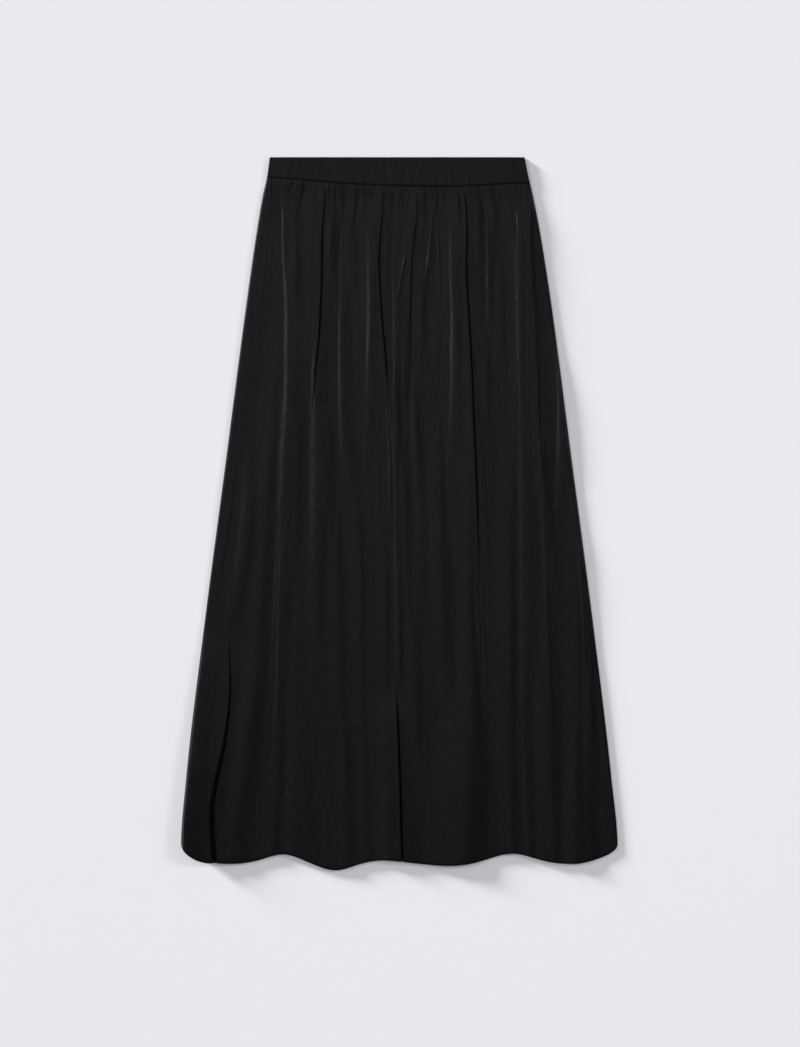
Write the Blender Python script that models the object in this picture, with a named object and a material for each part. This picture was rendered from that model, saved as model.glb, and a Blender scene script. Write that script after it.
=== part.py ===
"""Maxi skirt laid flat: gathered front and back panels hung from a plain waistband.

Metres, +Z up. The back rests on z = 0, the waist points to +Y and the hem to -Y.
Tables are in millimetres: "down" runs from the top of the waistband to the hem and
"across" runs from the middle of the skirt to its right side.
"""

import math

import bpy
import numpy as np

MM = 0.001

# Walls and gaps of the cloth
PANEL_WALL = 1.2
BAND_WALL = 2.0
SEAM_GAP = 0.3
BACK_HEM_SHORTER = 3.0

# Heights of the middle of each wall above the surface
BACK_PANEL_MIDDLE = 0.6
BACK_BAND_MIDDLE = 1.0
FRONT_PANEL_AT_SIDE = 2.15
FRONT_PANEL_CENTRE_RISE = 1.6
FRONT_BAND_AT_SIDE = 3.3
FRONT_BAND_CENTRE_RISE = 0.9
SIDE_RISE_WIDTH = 40.0
BAND_BLEND_LENGTH = 40.0

# Fullness below the waist seam
PUFF_HEIGHT = 2.0
PUFF_RISE_LENGTH = 14.0
PUFF_HOLD_LENGTH = 40.0
PUFF_FADE_LENGTH = 130.0
PUFF_SIDE_WIDTH = 12.0
TROUGH_AT_SEAM = 0.25
TROUGH_RISE_LENGTH = 12.0
TROUGH_FLANK = 0.8
PLAIN_COLUMN_WIDTH = 7.0
NEAREST_COLUMN = 0.04
FARTHEST_COLUMN = 0.97
RIDGE_SIDE_WIDTH = 14.0
HEM_WAVE_RISE_LENGTH = 200.0

# Folds that lap over themselves
TURN_RADIUS = 1.0
LAP_ANGLE = 180.0
LAP_RISE_WIDTH = 28.0
GROOVE_ANGLE = 84.0
GROOVE_TURN = 1.6
GROOVE_WALL = 3.6
GROOVE_FLOOR = 2.2

# Small ripples of the elastic in the back waistband
BACK_RIPPLES = 24
BACK_RIPPLE_HEIGHT = 0.7
COLUMNS_PER_RIPPLE = 4
BACK_TUCK_HEIGHT = 1.4
TUCK_WIDENING_LENGTH = 90.0

# Where the waist seam meets the sides
SEAM_LEFT_END_DOWN = 30.0
SEAM_RIGHT_END_DOWN = 34.0

# No station lies lower than this
LONGEST_DOWN = 955.0
HALF_WAY_DOWN = 500.0
SETTLE_STEPS = 6

# Outline of both sides: down, left across, right across
SIDES = (
    (0.0, -173.3, 167.5),
    (9.4, -174.3, 169.0),
    (26.8, -177.0, 173.0),
    (36.2, -179.7, 175.3),
    (49.6, -182.4, 178.4),
    (69.7, -186.4, 182.4),
    (96.6, -190.4, 187.7),
    (136.8, -197.1, 194.4),
    (190.4, -203.8, 202.5),
    (297.7, -218.6, 215.9),
    (405.0, -232.0, 230.7),
    (512.3, -246.7, 245.4),
    (619.5, -260.2, 258.8),
    (726.8, -273.6, 272.2),
    (834.1, -285.6, 284.3),
    (887.7, -291.0, 289.7),
    (921.3, -292.3, 292.3),
    (960.0, -292.3, 292.3),
)

# Hem line: across, down
HEM = (
    (-292.3, 918.6),
    (-291.0, 924.6),
    (-288.3, 928.6),
    (-284.3, 932.7),
    (-278.9, 936.7),
    (-268.2, 942.1),
    (-257.5, 944.1),
    (-230.7, 945.4),
    (-203.8, 944.1),
    (-187.7, 940.7),
    (-171.6, 937.4),
    (-155.6, 934.7),
    (-139.5, 937.4),
    (-128.7, 941.4),
    (-118.0, 945.4),
    (-107.3, 949.4),
    (-96.6, 952.1),
    (-83.1, 953.5),
    (-69.7, 951.4),
    (-53.6, 948.1),
    (-37.5, 944.1),
    (-16.1, 941.4),
    (0.0, 942.7),
    (16.1, 944.7),
    (42.9, 946.7),
    (68.4, 948.1),
    (91.2, 946.5),
    (107.3, 941.4),
    (123.4, 937.4),
    (150.2, 933.3),
    (177.0, 937.4),
    (193.1, 940.0),
    (209.2, 943.8),
    (229.3, 945.4),
    (246.7, 944.1),
    (262.8, 941.1),
    (273.6, 938.3),
    (281.6, 934.7),
    (287.0, 930.0),
    (290.3, 925.3),
    (292.3, 918.6),
)

# Waist seam: across, down
SEAM = (
    (-180.0, 26.8),
    (-175.7, 26.8),
    (-138.1, 29.5),
    (-116.7, 32.2),
    (-72.4, 35.7),
    (-24.1, 37.5),
    (28.2, 39.2),
    (68.4, 39.4),
    (88.5, 39.0),
    (108.6, 38.0),
    (131.4, 36.5),
    (173.0, 34.9),
    (180.0, 34.9),
)

# Lines that the cloth follows from waist to hem: down, across
TRACKS = {
    "hem_groove": (
        (27, -170.3), (137, -185.1), (244, -195.8), (378, -209.2), (512, -219.3),
        (642, -226.6), (703, -224.6), (764, -230.7), (809, -238.7), (846, -247.4),
        (876, -250.8), (912, -250.0), (950, -245.4),
    ),
    "left_ridge": (
        (27, -155.6), (83, -158.2), (164, -154.2), (251, -151.5), (331, -154.2), (418, -158.2),
        (519, -162.9), (620, -166.3), (720, -171.0), (854, -173.0), (950, -169.6),
    ),
    "fold_1": (
        (32, -97.9), (52, -96.6), (83, -100.6), (117, -103.3), (184, -105.9), (251, -112.6),
        (341, -116.7), (418, -114.7), (539, -112.6), (646, -113.3), (780, -111.3),
        (950, -105.9),
    ),
    "fold_2": (
        (35, -19.3), (95, -24.1), (150, -26.8), (237, -20.1), (304, -12.1), (345, -10.7),
        (438, -7.4), (586, -3.4), (707, -2.0), (770, 0.7), (827, 2.7), (885, 4.0), (950, 4.6),
    ),
    "fold_3": (
        (35, 26.8), (56, 28.2), (83, 24.1), (137, 18.1), (190, 16.1), (338, 16.1), (485, 20.1),
        (646, 26.8), (807, 34.9), (950, 42.9),
    ),
    "fold_4": (
        (35, 83.8), (54, 88.5), (103, 92.5), (137, 91.2), (177, 93.9), (284, 98.6),
        (452, 105.3), (539, 108.6), (646, 112.0), (720, 114.0), (834, 118.0), (950, 123.4),
    ),
    "right_ridge": (
        (35, 151.5), (70, 156.2), (164, 158.9), (251, 160.9), (385, 160.9), (519, 162.3),
        (653, 163.6), (787, 165.6), (950, 171.0),
    ),
    "fold_5": (
        (35, 167.6), (50, 173.7), (63, 177.0), (97, 178.4), (137, 178.4), (184, 179.0),
        (244, 183.7), (318, 189.1), (452, 193.1), (552, 197.1), (673, 203.8), (807, 213.2),
        (950, 223.9),
    ),
}

# Folds: name, track, kind, starts down, full from, full to, ends down, overlap
FOLDS = (
    ("fold_1", "fold_1", "lap", 40, 66, 286, 364, 4.5),
    ("fold_2", "fold_2", "lap", 42, 68, 290, 366, 5.0),
    ("fold_3", "fold_3", "lap", 44, 72, 280, 360, 4.0),
    ("fold_4", "fold_4", "lap", 42, 68, 470, 606, 5.0),
    ("fold_5", "fold_5", "lap", 62, 96, 436, 580, 4.5),
    ("hem_groove", "hem_groove", "groove", 650, 840, 960, 970, 0.0),
    ("hem_fold", "fold_2", "lap", 716, 800, 960, 970, 4.0),
)

# Gathers: across at the seam, depth, half width, length
GATHERS = (
    (-147.8, 1.8, 2.2, 60),
    (-139.8, 2.0, 2.2, 75),
    (-126.1, 2.3, 2.6, 150),
    (-112.6, 1.8, 2.2, 70),
    (-88.5, 2.0, 2.3, 90),
    (-77.0, 1.6, 2.2, 60),
    (-65.7, 2.2, 2.6, 110),
    (-51.0, 1.9, 2.3, 140),
    (-39.0, 2.3, 2.3, 90),
    (-29.5, 1.9, 2.0, 60),
    (-8.4, 2.1, 2.4, 110),
    (3.5, 1.8, 2.3, 70),
    (14.8, 2.0, 2.3, 90),
    (38.9, 2.1, 2.4, 100),
    (49.0, 1.6, 2.2, 60),
    (59.5, 2.1, 2.4, 80),
    (71.5, 1.8, 2.3, 70),
    (103.3, 2.1, 2.4, 90),
    (115.5, 1.7, 2.3, 60),
    (127.5, 1.9, 2.3, 80),
    (138.5, 1.5, 2.2, 50),
)

# Raised folds: name, height, half width, fade length, rows of down and across
RIDGES = (
    ("left_ridge", 3.6, 7.0, 50, ((40, -156.2), (83, -158.2), (164, -154.2), (251, -151.5),
        (331, -154.2), (418, -158.2), (519, -162.9), (620, -166.3), (720, -171.0), (960, -171.0))),
    ("left_broad", 2.2, 16.0, 90, ((330, -200.0), (412, -204.2), (492, -208.2), (559, -212.9),
        (700, -216.0))),
    ("beside_fold_1", 1.6, 7.0, 40, ((90, -76.4), (170, -77.8), (251, -80.5), (318, -79.1),
        (430, -75.8))),
    ("below_fold_1", 2.6, 8.0, 60, ((300, -113.0), (418, -114.7), (539, -112.6), (680, -113.3))),
    ("centre_left", 1.4, 8.0, 40, ((103, -43.6), (184, -42.2), (264, -45.9), (365, -48.6))),
    ("centre_long", 2.4, 7.0, 60, ((110, -5.4), (184, -6.7), (264, -2.0), (345, 1.0), (438, 1.3),
        (586, 4.0), (730, 8.7))),
    ("centre_slant", 1.2, 6.0, 30, ((79, 45.6), (150, 37.5), (240, 33.5))),
    ("centre_right", 1.8, 9.0, 50, ((64, 66.4), (184, 69.7), (264, 71.8), (351, 66.4),
        (440, 63.0))),
    ("right_inner", 1.4, 7.0, 40, ((76, 115.3), (164, 118.7), (260, 124.7))),
    ("right_ridge", 3.0, 7.0, 50, ((42, 151.5), (70, 156.2), (164, 158.9), (251, 160.9),
        (385, 160.9), (519, 162.3), (653, 163.6), (787, 165.6), (960, 171.0))),
    ("right_outer", 1.8, 8.0, 50, ((290, 212.0), (372, 211.0), (485, 210.5), (600, 214.0))),
)

# Soft waves of the lower half: across at the hem, height, half width, starts down
HEM_WAVES = (
    (-212.0, 1.6, 14.0, 560),
    (-145.0, 2.2, 12.0, 640),
    (-78.0, 3.0, 18.0, 560),
    (-32.0, 1.8, 12.0, 620),
    (66.0, 3.0, 22.0, 520),
    (103.0, 1.6, 12.0, 640),
    (196.0, 1.4, 12.0, 640),
    (240.0, 2.6, 18.0, 540),
)

# Stations below the waist seam, as parts of the way to the hem
GATHER_ROWS = (0.0, 0.007, 0.014, 0.022, 0.032, 0.044, 0.058, 0.074, 0.093, 0.115)
FOLD_ROWS = (0.145, 0.178, 0.212, 0.245, 0.272, 0.296, 0.319, 0.341, 0.363)
MIDDLE_ROWS = (0.395, 0.43, 0.465, 0.498, 0.529, 0.558, 0.588, 0.628)
HEM_ROWS = (0.668, 0.71, 0.755, 0.80, 0.845, 0.89, 0.93, 0.968, 1.0)

# Columns inside each gap between neighbouring tracks, left side to right side
GAP_NAMES = (
    "side_to_groove", "groove_to_ridge", "ridge_to_fold_1", "fold_1_to_fold_2",
    "fold_2_to_fold_3", "fold_3_to_fold_4", "fold_4_to_ridge", "ridge_to_fold_5",
    "fold_5_to_side",
)
FOLD_COLUMNS = (0, 3, 2, 6, 2, 5, 4, 1, 1)
MIDDLE_COLUMNS = (1, 4, 3, 6, 1, 5, 3, 1, 2)
HEM_COLUMNS = (2, 4, 4, 6, 2, 5, 3, 3, 4)
HEM_LEFT_CORNER = (0.07, 0.22, 0.55)
HEM_RIGHT_CORNER = (0.2, 0.4, 0.6, 0.8, 0.94)

# Back panel: across at the seam, height, half width, length of each tuck
BACK_TUCKS = (
    (-150.0, 0.8, 2.6, 90),
    (-133.0, 1.0, 2.6, 140),
    (-118.0, 0.8, 2.6, 80),
    (-101.0, 1.0, 3.0, 420),
    (-86.0, 0.9, 2.6, 90),
    (-70.0, 1.0, 2.8, 180),
    (-55.0, 0.8, 2.6, 80),
    (-38.0, 1.0, 3.0, 300),
    (-22.0, 0.9, 2.6, 110),
    (-6.0, 1.0, 2.6, 90),
    (10.0, 0.8, 2.8, 160),
    (27.0, 1.0, 3.0, 480),
    (43.0, 0.9, 2.6, 80),
    (60.0, 1.0, 2.6, 120),
    (77.0, 0.8, 2.6, 90),
    (93.0, 1.0, 3.0, 260),
    (110.0, 0.9, 2.6, 100),
    (127.0, 1.0, 2.8, 350),
    (144.0, 0.8, 2.6, 80),
)
BACK_TOP_ROWS = (0.0, 0.012, 0.028, 0.05, 0.08, 0.12)
BACK_LOW_ROWS = (0.19, 0.27, 0.36, 0.46, 0.56, 0.66, 0.76)
BACK_HEM_ROWS = (0.86, 0.94, 1.0)
BACK_LOW_COLUMNS = 29
BACK_SIDE_SHARES = [0.03, 0.055, 0.955, 0.98]
BACK_CORNER_SHARES = [0.006, 0.018, 0.982, 0.994]

# Creases of the front waistband: across, depth, half width
BAND_CREASES = (
    (-17.4, 0.5, 3.0),
    (87.2, 0.3, 3.0),
)
BAND_COLUMNS = 26
BAND_ROWS = 4
BAND_MIDDLE_DOWN = 15.0
CREASE_COLUMNS = (-1.6, -0.7, 0.0, 0.7, 1.6)
CREASE_CLEARANCE = 2.2

CLOTH = (0.0118, 0.0118, 0.0124, 1.0)
CLOTH_BACK = (0.0112, 0.0112, 0.0118, 1.0)
BAND_CLOTH = (0.0125, 0.0125, 0.0130, 1.0)
BAND_CLOTH_BACK = (0.0115, 0.0115, 0.0121, 1.0)
CLOTH_ROUGHNESS = 0.5
BAND_ROUGHNESS = 0.62


# Reading the tables

def ease(value):
    """Smooth step from 0 to 1."""
    value = min(max(value, 0.0), 1.0)
    return value * value * (3.0 - 2.0 * value)


def slopes(stations, values):
    """Slopes that keep a smooth curve between its own table values."""
    steps = np.diff(stations)
    rises = np.diff(values) / steps
    out = np.zeros(len(values))
    out[0] = rises[0]
    out[-1] = rises[-1]
    for i in range(1, len(values) - 1):
        if rises[i - 1] * rises[i] > 0.0:
            wide = 2.0 * steps[i] + steps[i - 1]
            near = steps[i] + 2.0 * steps[i - 1]
            out[i] = (wide + near) / (wide / rises[i - 1] + near / rises[i])
    return out


READ_TABLES = {}


def along(name, rows, value, column=1):
    """Smooth reading of a table at one station."""
    key = (name, column)
    if key not in READ_TABLES:
        stations = np.array([row[0] for row in rows], dtype=float)
        values = np.array([row[column] for row in rows], dtype=float)
        READ_TABLES[key] = (stations, values, slopes(stations, values))
    stations, values, slope = READ_TABLES[key]
    if value <= stations[0]:
        return float(values[0])
    if value >= stations[-1]:
        return float(values[-1])
    i = int(np.searchsorted(stations, value)) - 1
    step = stations[i + 1] - stations[i]
    t = (value - stations[i]) / step
    flat = 2.0 * t ** 3 - 3.0 * t ** 2 + 1.0
    rise = t ** 3 - 2.0 * t ** 2 + t
    fall = t ** 3 - t ** 2
    near = flat * values[i] + rise * step * slope[i]
    far = (1.0 - flat) * values[i + 1] + fall * step * slope[i + 1]
    return float(near + far)


def seam_down(across):
    return along("seam", SEAM, across)


def hem_down(across):
    return along("hem", HEM, across)


def left_side(down):
    return along("sides", SIDES, down, 1)


def right_side(down):
    return along("sides", SIDES, down, 2)


def station_down(across, part, top_gap, hem_gap):
    """Distance down at one part of the way from the waist seam to the hem."""
    top = seam_down(across) + top_gap
    low = hem_down(across) - hem_gap
    return top + part * (low - top)


def settle(reader, part, top_gap, hem_gap):
    """Across and down where a line crosses one row."""
    down = HALF_WAY_DOWN
    across = 0.0
    for _ in range(SETTLE_STEPS):
        across = reader(down)
        down = station_down(across, part, top_gap, hem_gap)
    return across, down


def side_distance(across, down):
    return min(across - left_side(down), right_side(down) - across)


# Folds

def lap_profile(angle, overlap):
    """Points of a fold that turns back under itself, from its upper edge."""
    turn = math.pi * TURN_RADIUS / 3.0
    flat = max(overlap - 2.0 * TURN_RADIUS, 0.5)
    lengths = (turn, turn, turn, flat, turn, turn, turn)
    shares = (1 / 6, 1 / 2, 5 / 6, 1.0, 5 / 6, 1 / 2, 1 / 6)
    points = [(0.0, 0.0)]
    for length, share in zip(lengths, shares):
        heading = math.radians(-angle * share)
        x, z = points[-1]
        points.append((x + length * math.cos(heading), z + length * math.sin(heading)))
    return points


def groove_profile(angle):
    """Points of an open groove, down one wall and up the other."""
    lengths = (GROOVE_TURN, GROOVE_WALL, GROOVE_TURN, GROOVE_FLOOR, GROOVE_TURN, GROOVE_WALL,
               GROOVE_TURN)
    shares = (-0.5, -1.0, -0.5, 0.0, 0.5, 1.0, 0.5)
    points = [(0.0, 0.0)]
    for length, share in zip(lengths, shares):
        heading = math.radians(angle * share)
        x, z = points[-1]
        points.append((x + length * math.cos(heading), z + length * math.sin(heading)))
    return points


def fold_at(track, down):
    """Profile of the fold that runs on a track at this station, or nothing."""
    for _, on_track, kind, start, full_from, full_to, end, overlap in FOLDS:
        if on_track != track or down < start or down > end:
            continue
        opening = ease((down - start) / (full_from - start))
        closing = ease((end - down) / (end - full_to))
        strength = opening * closing
        if kind == "lap":
            return kind, lap_profile(LAP_ANGLE * strength, overlap)
        return kind, groove_profile(GROOVE_ANGLE * strength)
    return None


# Rows of the front panel

# Columns carry keys, so rows with different columns still join in the right order
TRACK_KEY = 100.0
FOLD_KEY_START = -7.0
FOLD_KEY_STEP = 2.0


class Row:
    """One row across the panel: keys, across, down and added height."""

    def __init__(self):
        self.keys = []
        self.across = []
        self.down = []
        self.height = []

    def add(self, key, across, down, height):
        self.keys.append(key)
        self.across.append(across)
        self.down.append(down)
        self.height.append(height)


def gap_parts(zone, gap, count):
    """Parts of the way across a gap at which its columns stand."""
    if zone == "gathers":
        return gather_parts(gap)
    if zone == "hem" and gap == 0:
        return HEM_LEFT_CORNER
    if zone == "hem" and gap == len(GAP_NAMES) - 1:
        return HEM_RIGHT_CORNER
    return [(i + 1) / (count + 1) for i in range(count)]


def seam_stations():
    """Across positions of every track where it leaves the waist seam."""
    stations = [left_side(SEAM_LEFT_END_DOWN)]
    for name in TRACKS:
        stations.append(along(name, TRACKS[name], 0.0))
    stations.append(right_side(SEAM_RIGHT_END_DOWN))
    return stations


def gather_parts(gap):
    """Columns on, beside and between the gathers of one gap."""
    stations = seam_stations()
    left = stations[gap]
    right = stations[gap + 1]
    width = right - left
    centres = [row for row in GATHERS if left < row[0] < right]
    if not centres:
        count = int(width / PLAIN_COLUMN_WIDTH)
        return [(i + 1) / (count + 1) for i in range(count)]
    parts = []
    for across, _, half_width, _ in centres:
        for side in (-1.0, 0.0, 1.0):
            parts.append((across + side * TROUGH_FLANK * half_width - left) / width)
    crests = [0.5 * (a[0] + b[0]) for a, b in zip(centres, centres[1:])]
    for across in crests:
        parts.append((across - left) / width)
    return sorted(part for part in parts if NEAREST_COLUMN < part < FARTHEST_COLUMN)


def front_level(across, down):
    """Middle of the front panel wall without folds."""
    inside = ease(side_distance(across, down) / SIDE_RISE_WIDTH)
    panel = FRONT_PANEL_AT_SIDE + FRONT_PANEL_CENTRE_RISE * inside
    band = FRONT_BAND_AT_SIDE + FRONT_BAND_CENTRE_RISE * inside
    below = down - seam_down(across)
    blend = ease(below / BAND_BLEND_LENGTH)
    return band + blend * (panel - band)


def puff(across, down):
    """Fullness that stands up just below the waist seam."""
    below = down - seam_down(across)
    rise = ease(below / PUFF_RISE_LENGTH)
    fade = 1.0 - ease((below - PUFF_HOLD_LENGTH) / PUFF_FADE_LENGTH)
    side = ease(side_distance(across, down) / PUFF_SIDE_WIDTH)
    return PUFF_HEIGHT * rise * fade * side


def ridges(across, down):
    """Raised folds and the soft waves of the lower half."""
    total = 0.0
    for name, height, half_width, fade, rows in RIDGES:
        first = rows[0][0]
        last = rows[-1][0]
        if down <= first or down >= last:
            continue
        centre = along("ridge_" + name, rows, down)
        show = ease((down - first) / fade)
        if last < LONGEST_DOWN:
            show *= ease((last - down) / fade)
        total += height * show * math.exp(-((across - centre) / half_width) ** 2)
    spread = (right_side(down) - left_side(down)) / (HEM[-1][0] - HEM[0][0])
    for at_hem, height, half_width, start in HEM_WAVES:
        show = ease((down - start) / HEM_WAVE_RISE_LENGTH)
        total += height * show * math.exp(-((across - at_hem * spread) / half_width) ** 2)
    return total * ease(side_distance(across, down) / RIDGE_SIDE_WIDTH)


def front_row(part, zone, columns):
    """Middle line of the front panel wall at one row."""
    gap = 0.5 * SEAM_GAP
    row = Row()
    left, left_down = settle(left_side, part, gap, 0.0)
    right, right_down = settle(right_side, part, gap, 0.0)
    crossings = []
    for index, name in enumerate(TRACKS):
        across, down = settle(lambda d: along(name, TRACKS[name], d), part, gap, 0.0)
        found = fold_at(name, down)
        if found is None:
            crossings.append((index, across, None, [(0.0, 0.0)]))
            continue
        kind, points = found
        reach = max(point[0] for point in points)
        shift = reach if kind == "lap" else 0.5 * points[-1][0]
        crossings.append((index, across - shift, kind, points))
    ends = [left]
    starts = []
    for _, across, _, points in crossings:
        starts.append(across)
        ends.append(across + points[-1][0])
    starts.append(right)

    troughs = []
    stations = seam_stations()
    for at_seam, depth, half_width, length in GATHERS:
        for index in range(len(stations) - 1):
            if stations[index] < at_seam < stations[index + 1]:
                share = (at_seam - stations[index]) / (stations[index + 1] - stations[index])
                centre = ends[index] + share * (starts[index] - ends[index])
                troughs.append((centre, depth, half_width, length))

    def height_at(across, down):
        total = front_level(across, down) + puff(across, down) + ridges(across, down)
        below = down - seam_down(across)
        rise = TROUGH_AT_SEAM + (1.0 - TROUGH_AT_SEAM) * ease(below / TROUGH_RISE_LENGTH)
        for centre, depth, half_width, length in troughs:
            fade = 1.0 - ease(below / length)
            total -= depth * rise * fade * math.exp(-((across - centre) / half_width) ** 2)
        for index, _, kind, points in crossings:
            drop = -min(point[1] for point in points)
            if kind is None or drop <= 0.0:
                continue
            to_left = starts[index] - across
            to_right = across - ends[index + 1]
            if to_left >= 0.0:
                total += drop * (1.0 - ease(to_left / LAP_RISE_WIDTH))
            elif kind == "groove" and to_right >= 0.0:
                total += drop * (1.0 - ease(to_right / LAP_RISE_WIDTH))
        return total

    row.add(0.0, left, left_down, height_at(left, left_down))
    for index in range(len(GAP_NAMES)):
        count = columns[index] if columns else 0
        for share in gap_parts(zone, index, count):
            across = ends[index] + share * (starts[index] - ends[index])
            down = station_down(across, part, gap, 0.0)
            row.add(TRACK_KEY * (index + 0.2 + 0.6 * share), across, down, height_at(across, down))
        if index >= len(crossings):
            continue
        _, start, kind, points = crossings[index]
        if kind is None:
            down = station_down(start, part, gap, 0.0)
            row.add(TRACK_KEY * (index + 1), start, down, height_at(start, down))
            continue
        drop = -min(point[1] for point in points)
        for step, (shift, fall) in enumerate(points):
            across = start + shift
            down = station_down(across, part, gap, 0.0)
            # The layers of a fold stand on the same level, so they stay parallel
            base = front_level(across, down) + puff(across, down) + ridges(across, down)
            key = TRACK_KEY * (index + 1) + FOLD_KEY_START + FOLD_KEY_STEP * step
            row.add(key, across, down, base + drop + fall)
    row.add(TRACK_KEY * len(GAP_NAMES), right, right_down, height_at(right, right_down))
    return row


def front_rows():
    """All rows of the front panel, with fewer columns toward the hem."""
    rows = [front_row(part, "gathers", None) for part in GATHER_ROWS]
    rows += [front_row(part, "folds", FOLD_COLUMNS) for part in FOLD_ROWS]
    rows += [front_row(part, "middle", MIDDLE_COLUMNS) for part in MIDDLE_ROWS]
    rows += [front_row(part, "hem", HEM_COLUMNS) for part in HEM_ROWS]
    return rows


# Rows of the back panel and of both waistbands

def back_height(across, down):
    """Middle of the back panel wall: flat on the surface, with tucks standing up."""
    below = down - seam_down(across)
    inside = ease(side_distance(across, down) / SIDE_RISE_WIDTH)
    seam_width = right_side(SEAM_RIGHT_END_DOWN) - left_side(SEAM_LEFT_END_DOWN)
    spread = (right_side(down) - left_side(down)) / seam_width
    total = 0.0
    for at_seam, height, half_width, length in BACK_TUCKS:
        fade = 1.0 - ease(below / length)
        wide = half_width * (1.0 + below / TUCK_WIDENING_LENGTH)
        total += height * fade * math.exp(-((across - at_seam * spread) / wide) ** 2)
    return BACK_PANEL_MIDDLE + BACK_TUCK_HEIGHT * min(total, 1.0) * inside


def back_row(part, shares):
    """Middle line of the back panel wall at one row."""
    gap = 0.5 * SEAM_GAP
    row = Row()
    left, _ = settle(left_side, part, gap, BACK_HEM_SHORTER)
    right, _ = settle(right_side, part, gap, BACK_HEM_SHORTER)
    for share in shares:
        across = left + share * (right - left)
        down = station_down(across, part, gap, BACK_HEM_SHORTER)
        row.add(share, across, down, back_height(across, down))
    return row


def back_shares():
    """Columns on, beside and between the tucks."""
    left = left_side(SEAM_LEFT_END_DOWN)
    width = right_side(SEAM_RIGHT_END_DOWN) - left
    centres = [row[0] for row in BACK_TUCKS]
    crests = [0.5 * (a + b) for a, b in zip(centres, centres[1:])]
    shares = [0.0, 1.0]
    shares += [(across - left) / width for across in centres + crests]
    shares += BACK_SIDE_SHARES
    return sorted(shares)


def back_rows():
    close = back_shares()
    wide = [i / BACK_LOW_COLUMNS for i in range(BACK_LOW_COLUMNS + 1)]
    corner = sorted(wide + BACK_CORNER_SHARES)
    rows = [back_row(part, close) for part in BACK_TOP_ROWS]
    rows += [back_row(part, wide) for part in BACK_LOW_ROWS]
    rows += [back_row(part, corner) for part in BACK_HEM_ROWS]
    return rows


def band_rows(shares, height):
    """Rows of a waistband from its straight top to the curved seam."""
    rows = []
    for step in range(BAND_ROWS):
        part = step / (BAND_ROWS - 1)
        row = Row()
        for share in shares:
            down = BAND_MIDDLE_DOWN
            across = 0.0
            for _ in range(SETTLE_STEPS):
                left = left_side(down)
                across = left + share * (right_side(down) - left)
                down = part * (seam_down(across) - 0.5 * SEAM_GAP)
            row.add(share, across, down, height(across, down))
        rows.append(row)
    return rows


def front_band_height(across, down):
    inside = ease(side_distance(across, down) / SIDE_RISE_WIDTH)
    level = FRONT_BAND_AT_SIDE + FRONT_BAND_CENTRE_RISE * inside
    for centre, depth, half_width in BAND_CREASES:
        level -= depth * math.exp(-((across - centre) / half_width) ** 2)
    return level


def back_band_height(across, down):
    inside = ease(side_distance(across, down) / SIDE_RISE_WIDTH)
    turn = 2.0 * math.pi * BACK_RIPPLES * (across - left_side(down))
    turn /= right_side(down) - left_side(down)
    return BACK_BAND_MIDDLE + BACK_RIPPLE_HEIGHT * inside * 0.5 * (1.0 - math.cos(turn))


def front_band_shares():
    shares = [i / BAND_COLUMNS for i in range(BAND_COLUMNS + 1)]
    left = left_side(BAND_MIDDLE_DOWN)
    width = right_side(BAND_MIDDLE_DOWN) - left
    for centre, _, half_width in BAND_CREASES:
        middle = (centre - left) / width
        reach = half_width / width
        shares = [share for share in shares if abs(share - middle) > CREASE_CLEARANCE * reach]
        shares += [middle + step * reach for step in CREASE_COLUMNS]
    return sorted(shares)


def back_band_shares():
    count = COLUMNS_PER_RIPPLE * BACK_RIPPLES
    return [i / count for i in range(count + 1)]


# Solids

def stitch(rows):
    """Triangles between neighbouring rows, also where their columns differ."""
    firsts = []
    total = 0
    for row in rows:
        firsts.append(total)
        total += len(row.keys)
    points = np.zeros((total, 3))
    for row, first in zip(rows, firsts):
        for i in range(len(row.keys)):
            points[first + i] = (row.across[i], -row.down[i], row.height[i])
    triangles = []
    for r in range(len(rows) - 1):
        upper = rows[r]
        lower = rows[r + 1]
        i = 0
        j = 0
        while i < len(upper.keys) - 1 or j < len(lower.keys) - 1:
            a = firsts[r] + i
            b = firsts[r + 1] + j
            can_upper = i < len(upper.keys) - 1
            can_lower = j < len(lower.keys) - 1
            next_upper = upper.keys[i + 1] if can_upper else math.inf
            next_lower = lower.keys[j + 1] if can_lower else math.inf
            if abs(next_upper - next_lower) < 1e-6:
                across = np.linalg.norm(points[a] - points[b + 1])
                other = np.linalg.norm(points[b] - points[a + 1])
                if across < other:
                    triangles += [(a, b, b + 1), (a, b + 1, a + 1)]
                else:
                    triangles += [(a, b, a + 1), (a + 1, b, b + 1)]
                i += 1
                j += 1
            elif next_upper < next_lower:
                triangles.append((a, b, a + 1))
                i += 1
            else:
                triangles.append((a, b, b + 1))
                j += 1
    edge = [firsts[0] + i for i in range(len(rows[0].keys))]
    edge += [firsts[r] + len(rows[r].keys) - 1 for r in range(1, len(rows))]
    edge += [firsts[-1] + i for i in range(len(rows[-1].keys) - 2, -1, -1)]
    edge += [firsts[r] for r in range(len(rows) - 2, 0, -1)]
    return points, triangles, edge


def point_normals(points, triangles):
    """Normals at the points, weighted by the angle of each corner."""
    normals = np.zeros_like(points)
    for corners in triangles:
        p = points[list(corners)]
        face = np.cross(p[1] - p[0], p[2] - p[0])
        size = np.linalg.norm(face)
        if size < 1e-9:
            continue
        face /= size
        for k in range(3):
            one = p[(k + 1) % 3] - p[k]
            two = p[(k + 2) % 3] - p[k]
            cosine = np.dot(one, two) / (np.linalg.norm(one) * np.linalg.norm(two))
            normals[corners[k]] += face * math.acos(min(max(cosine, -1.0), 1.0))
    return normals / np.linalg.norm(normals, axis=1)[:, None]


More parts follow.
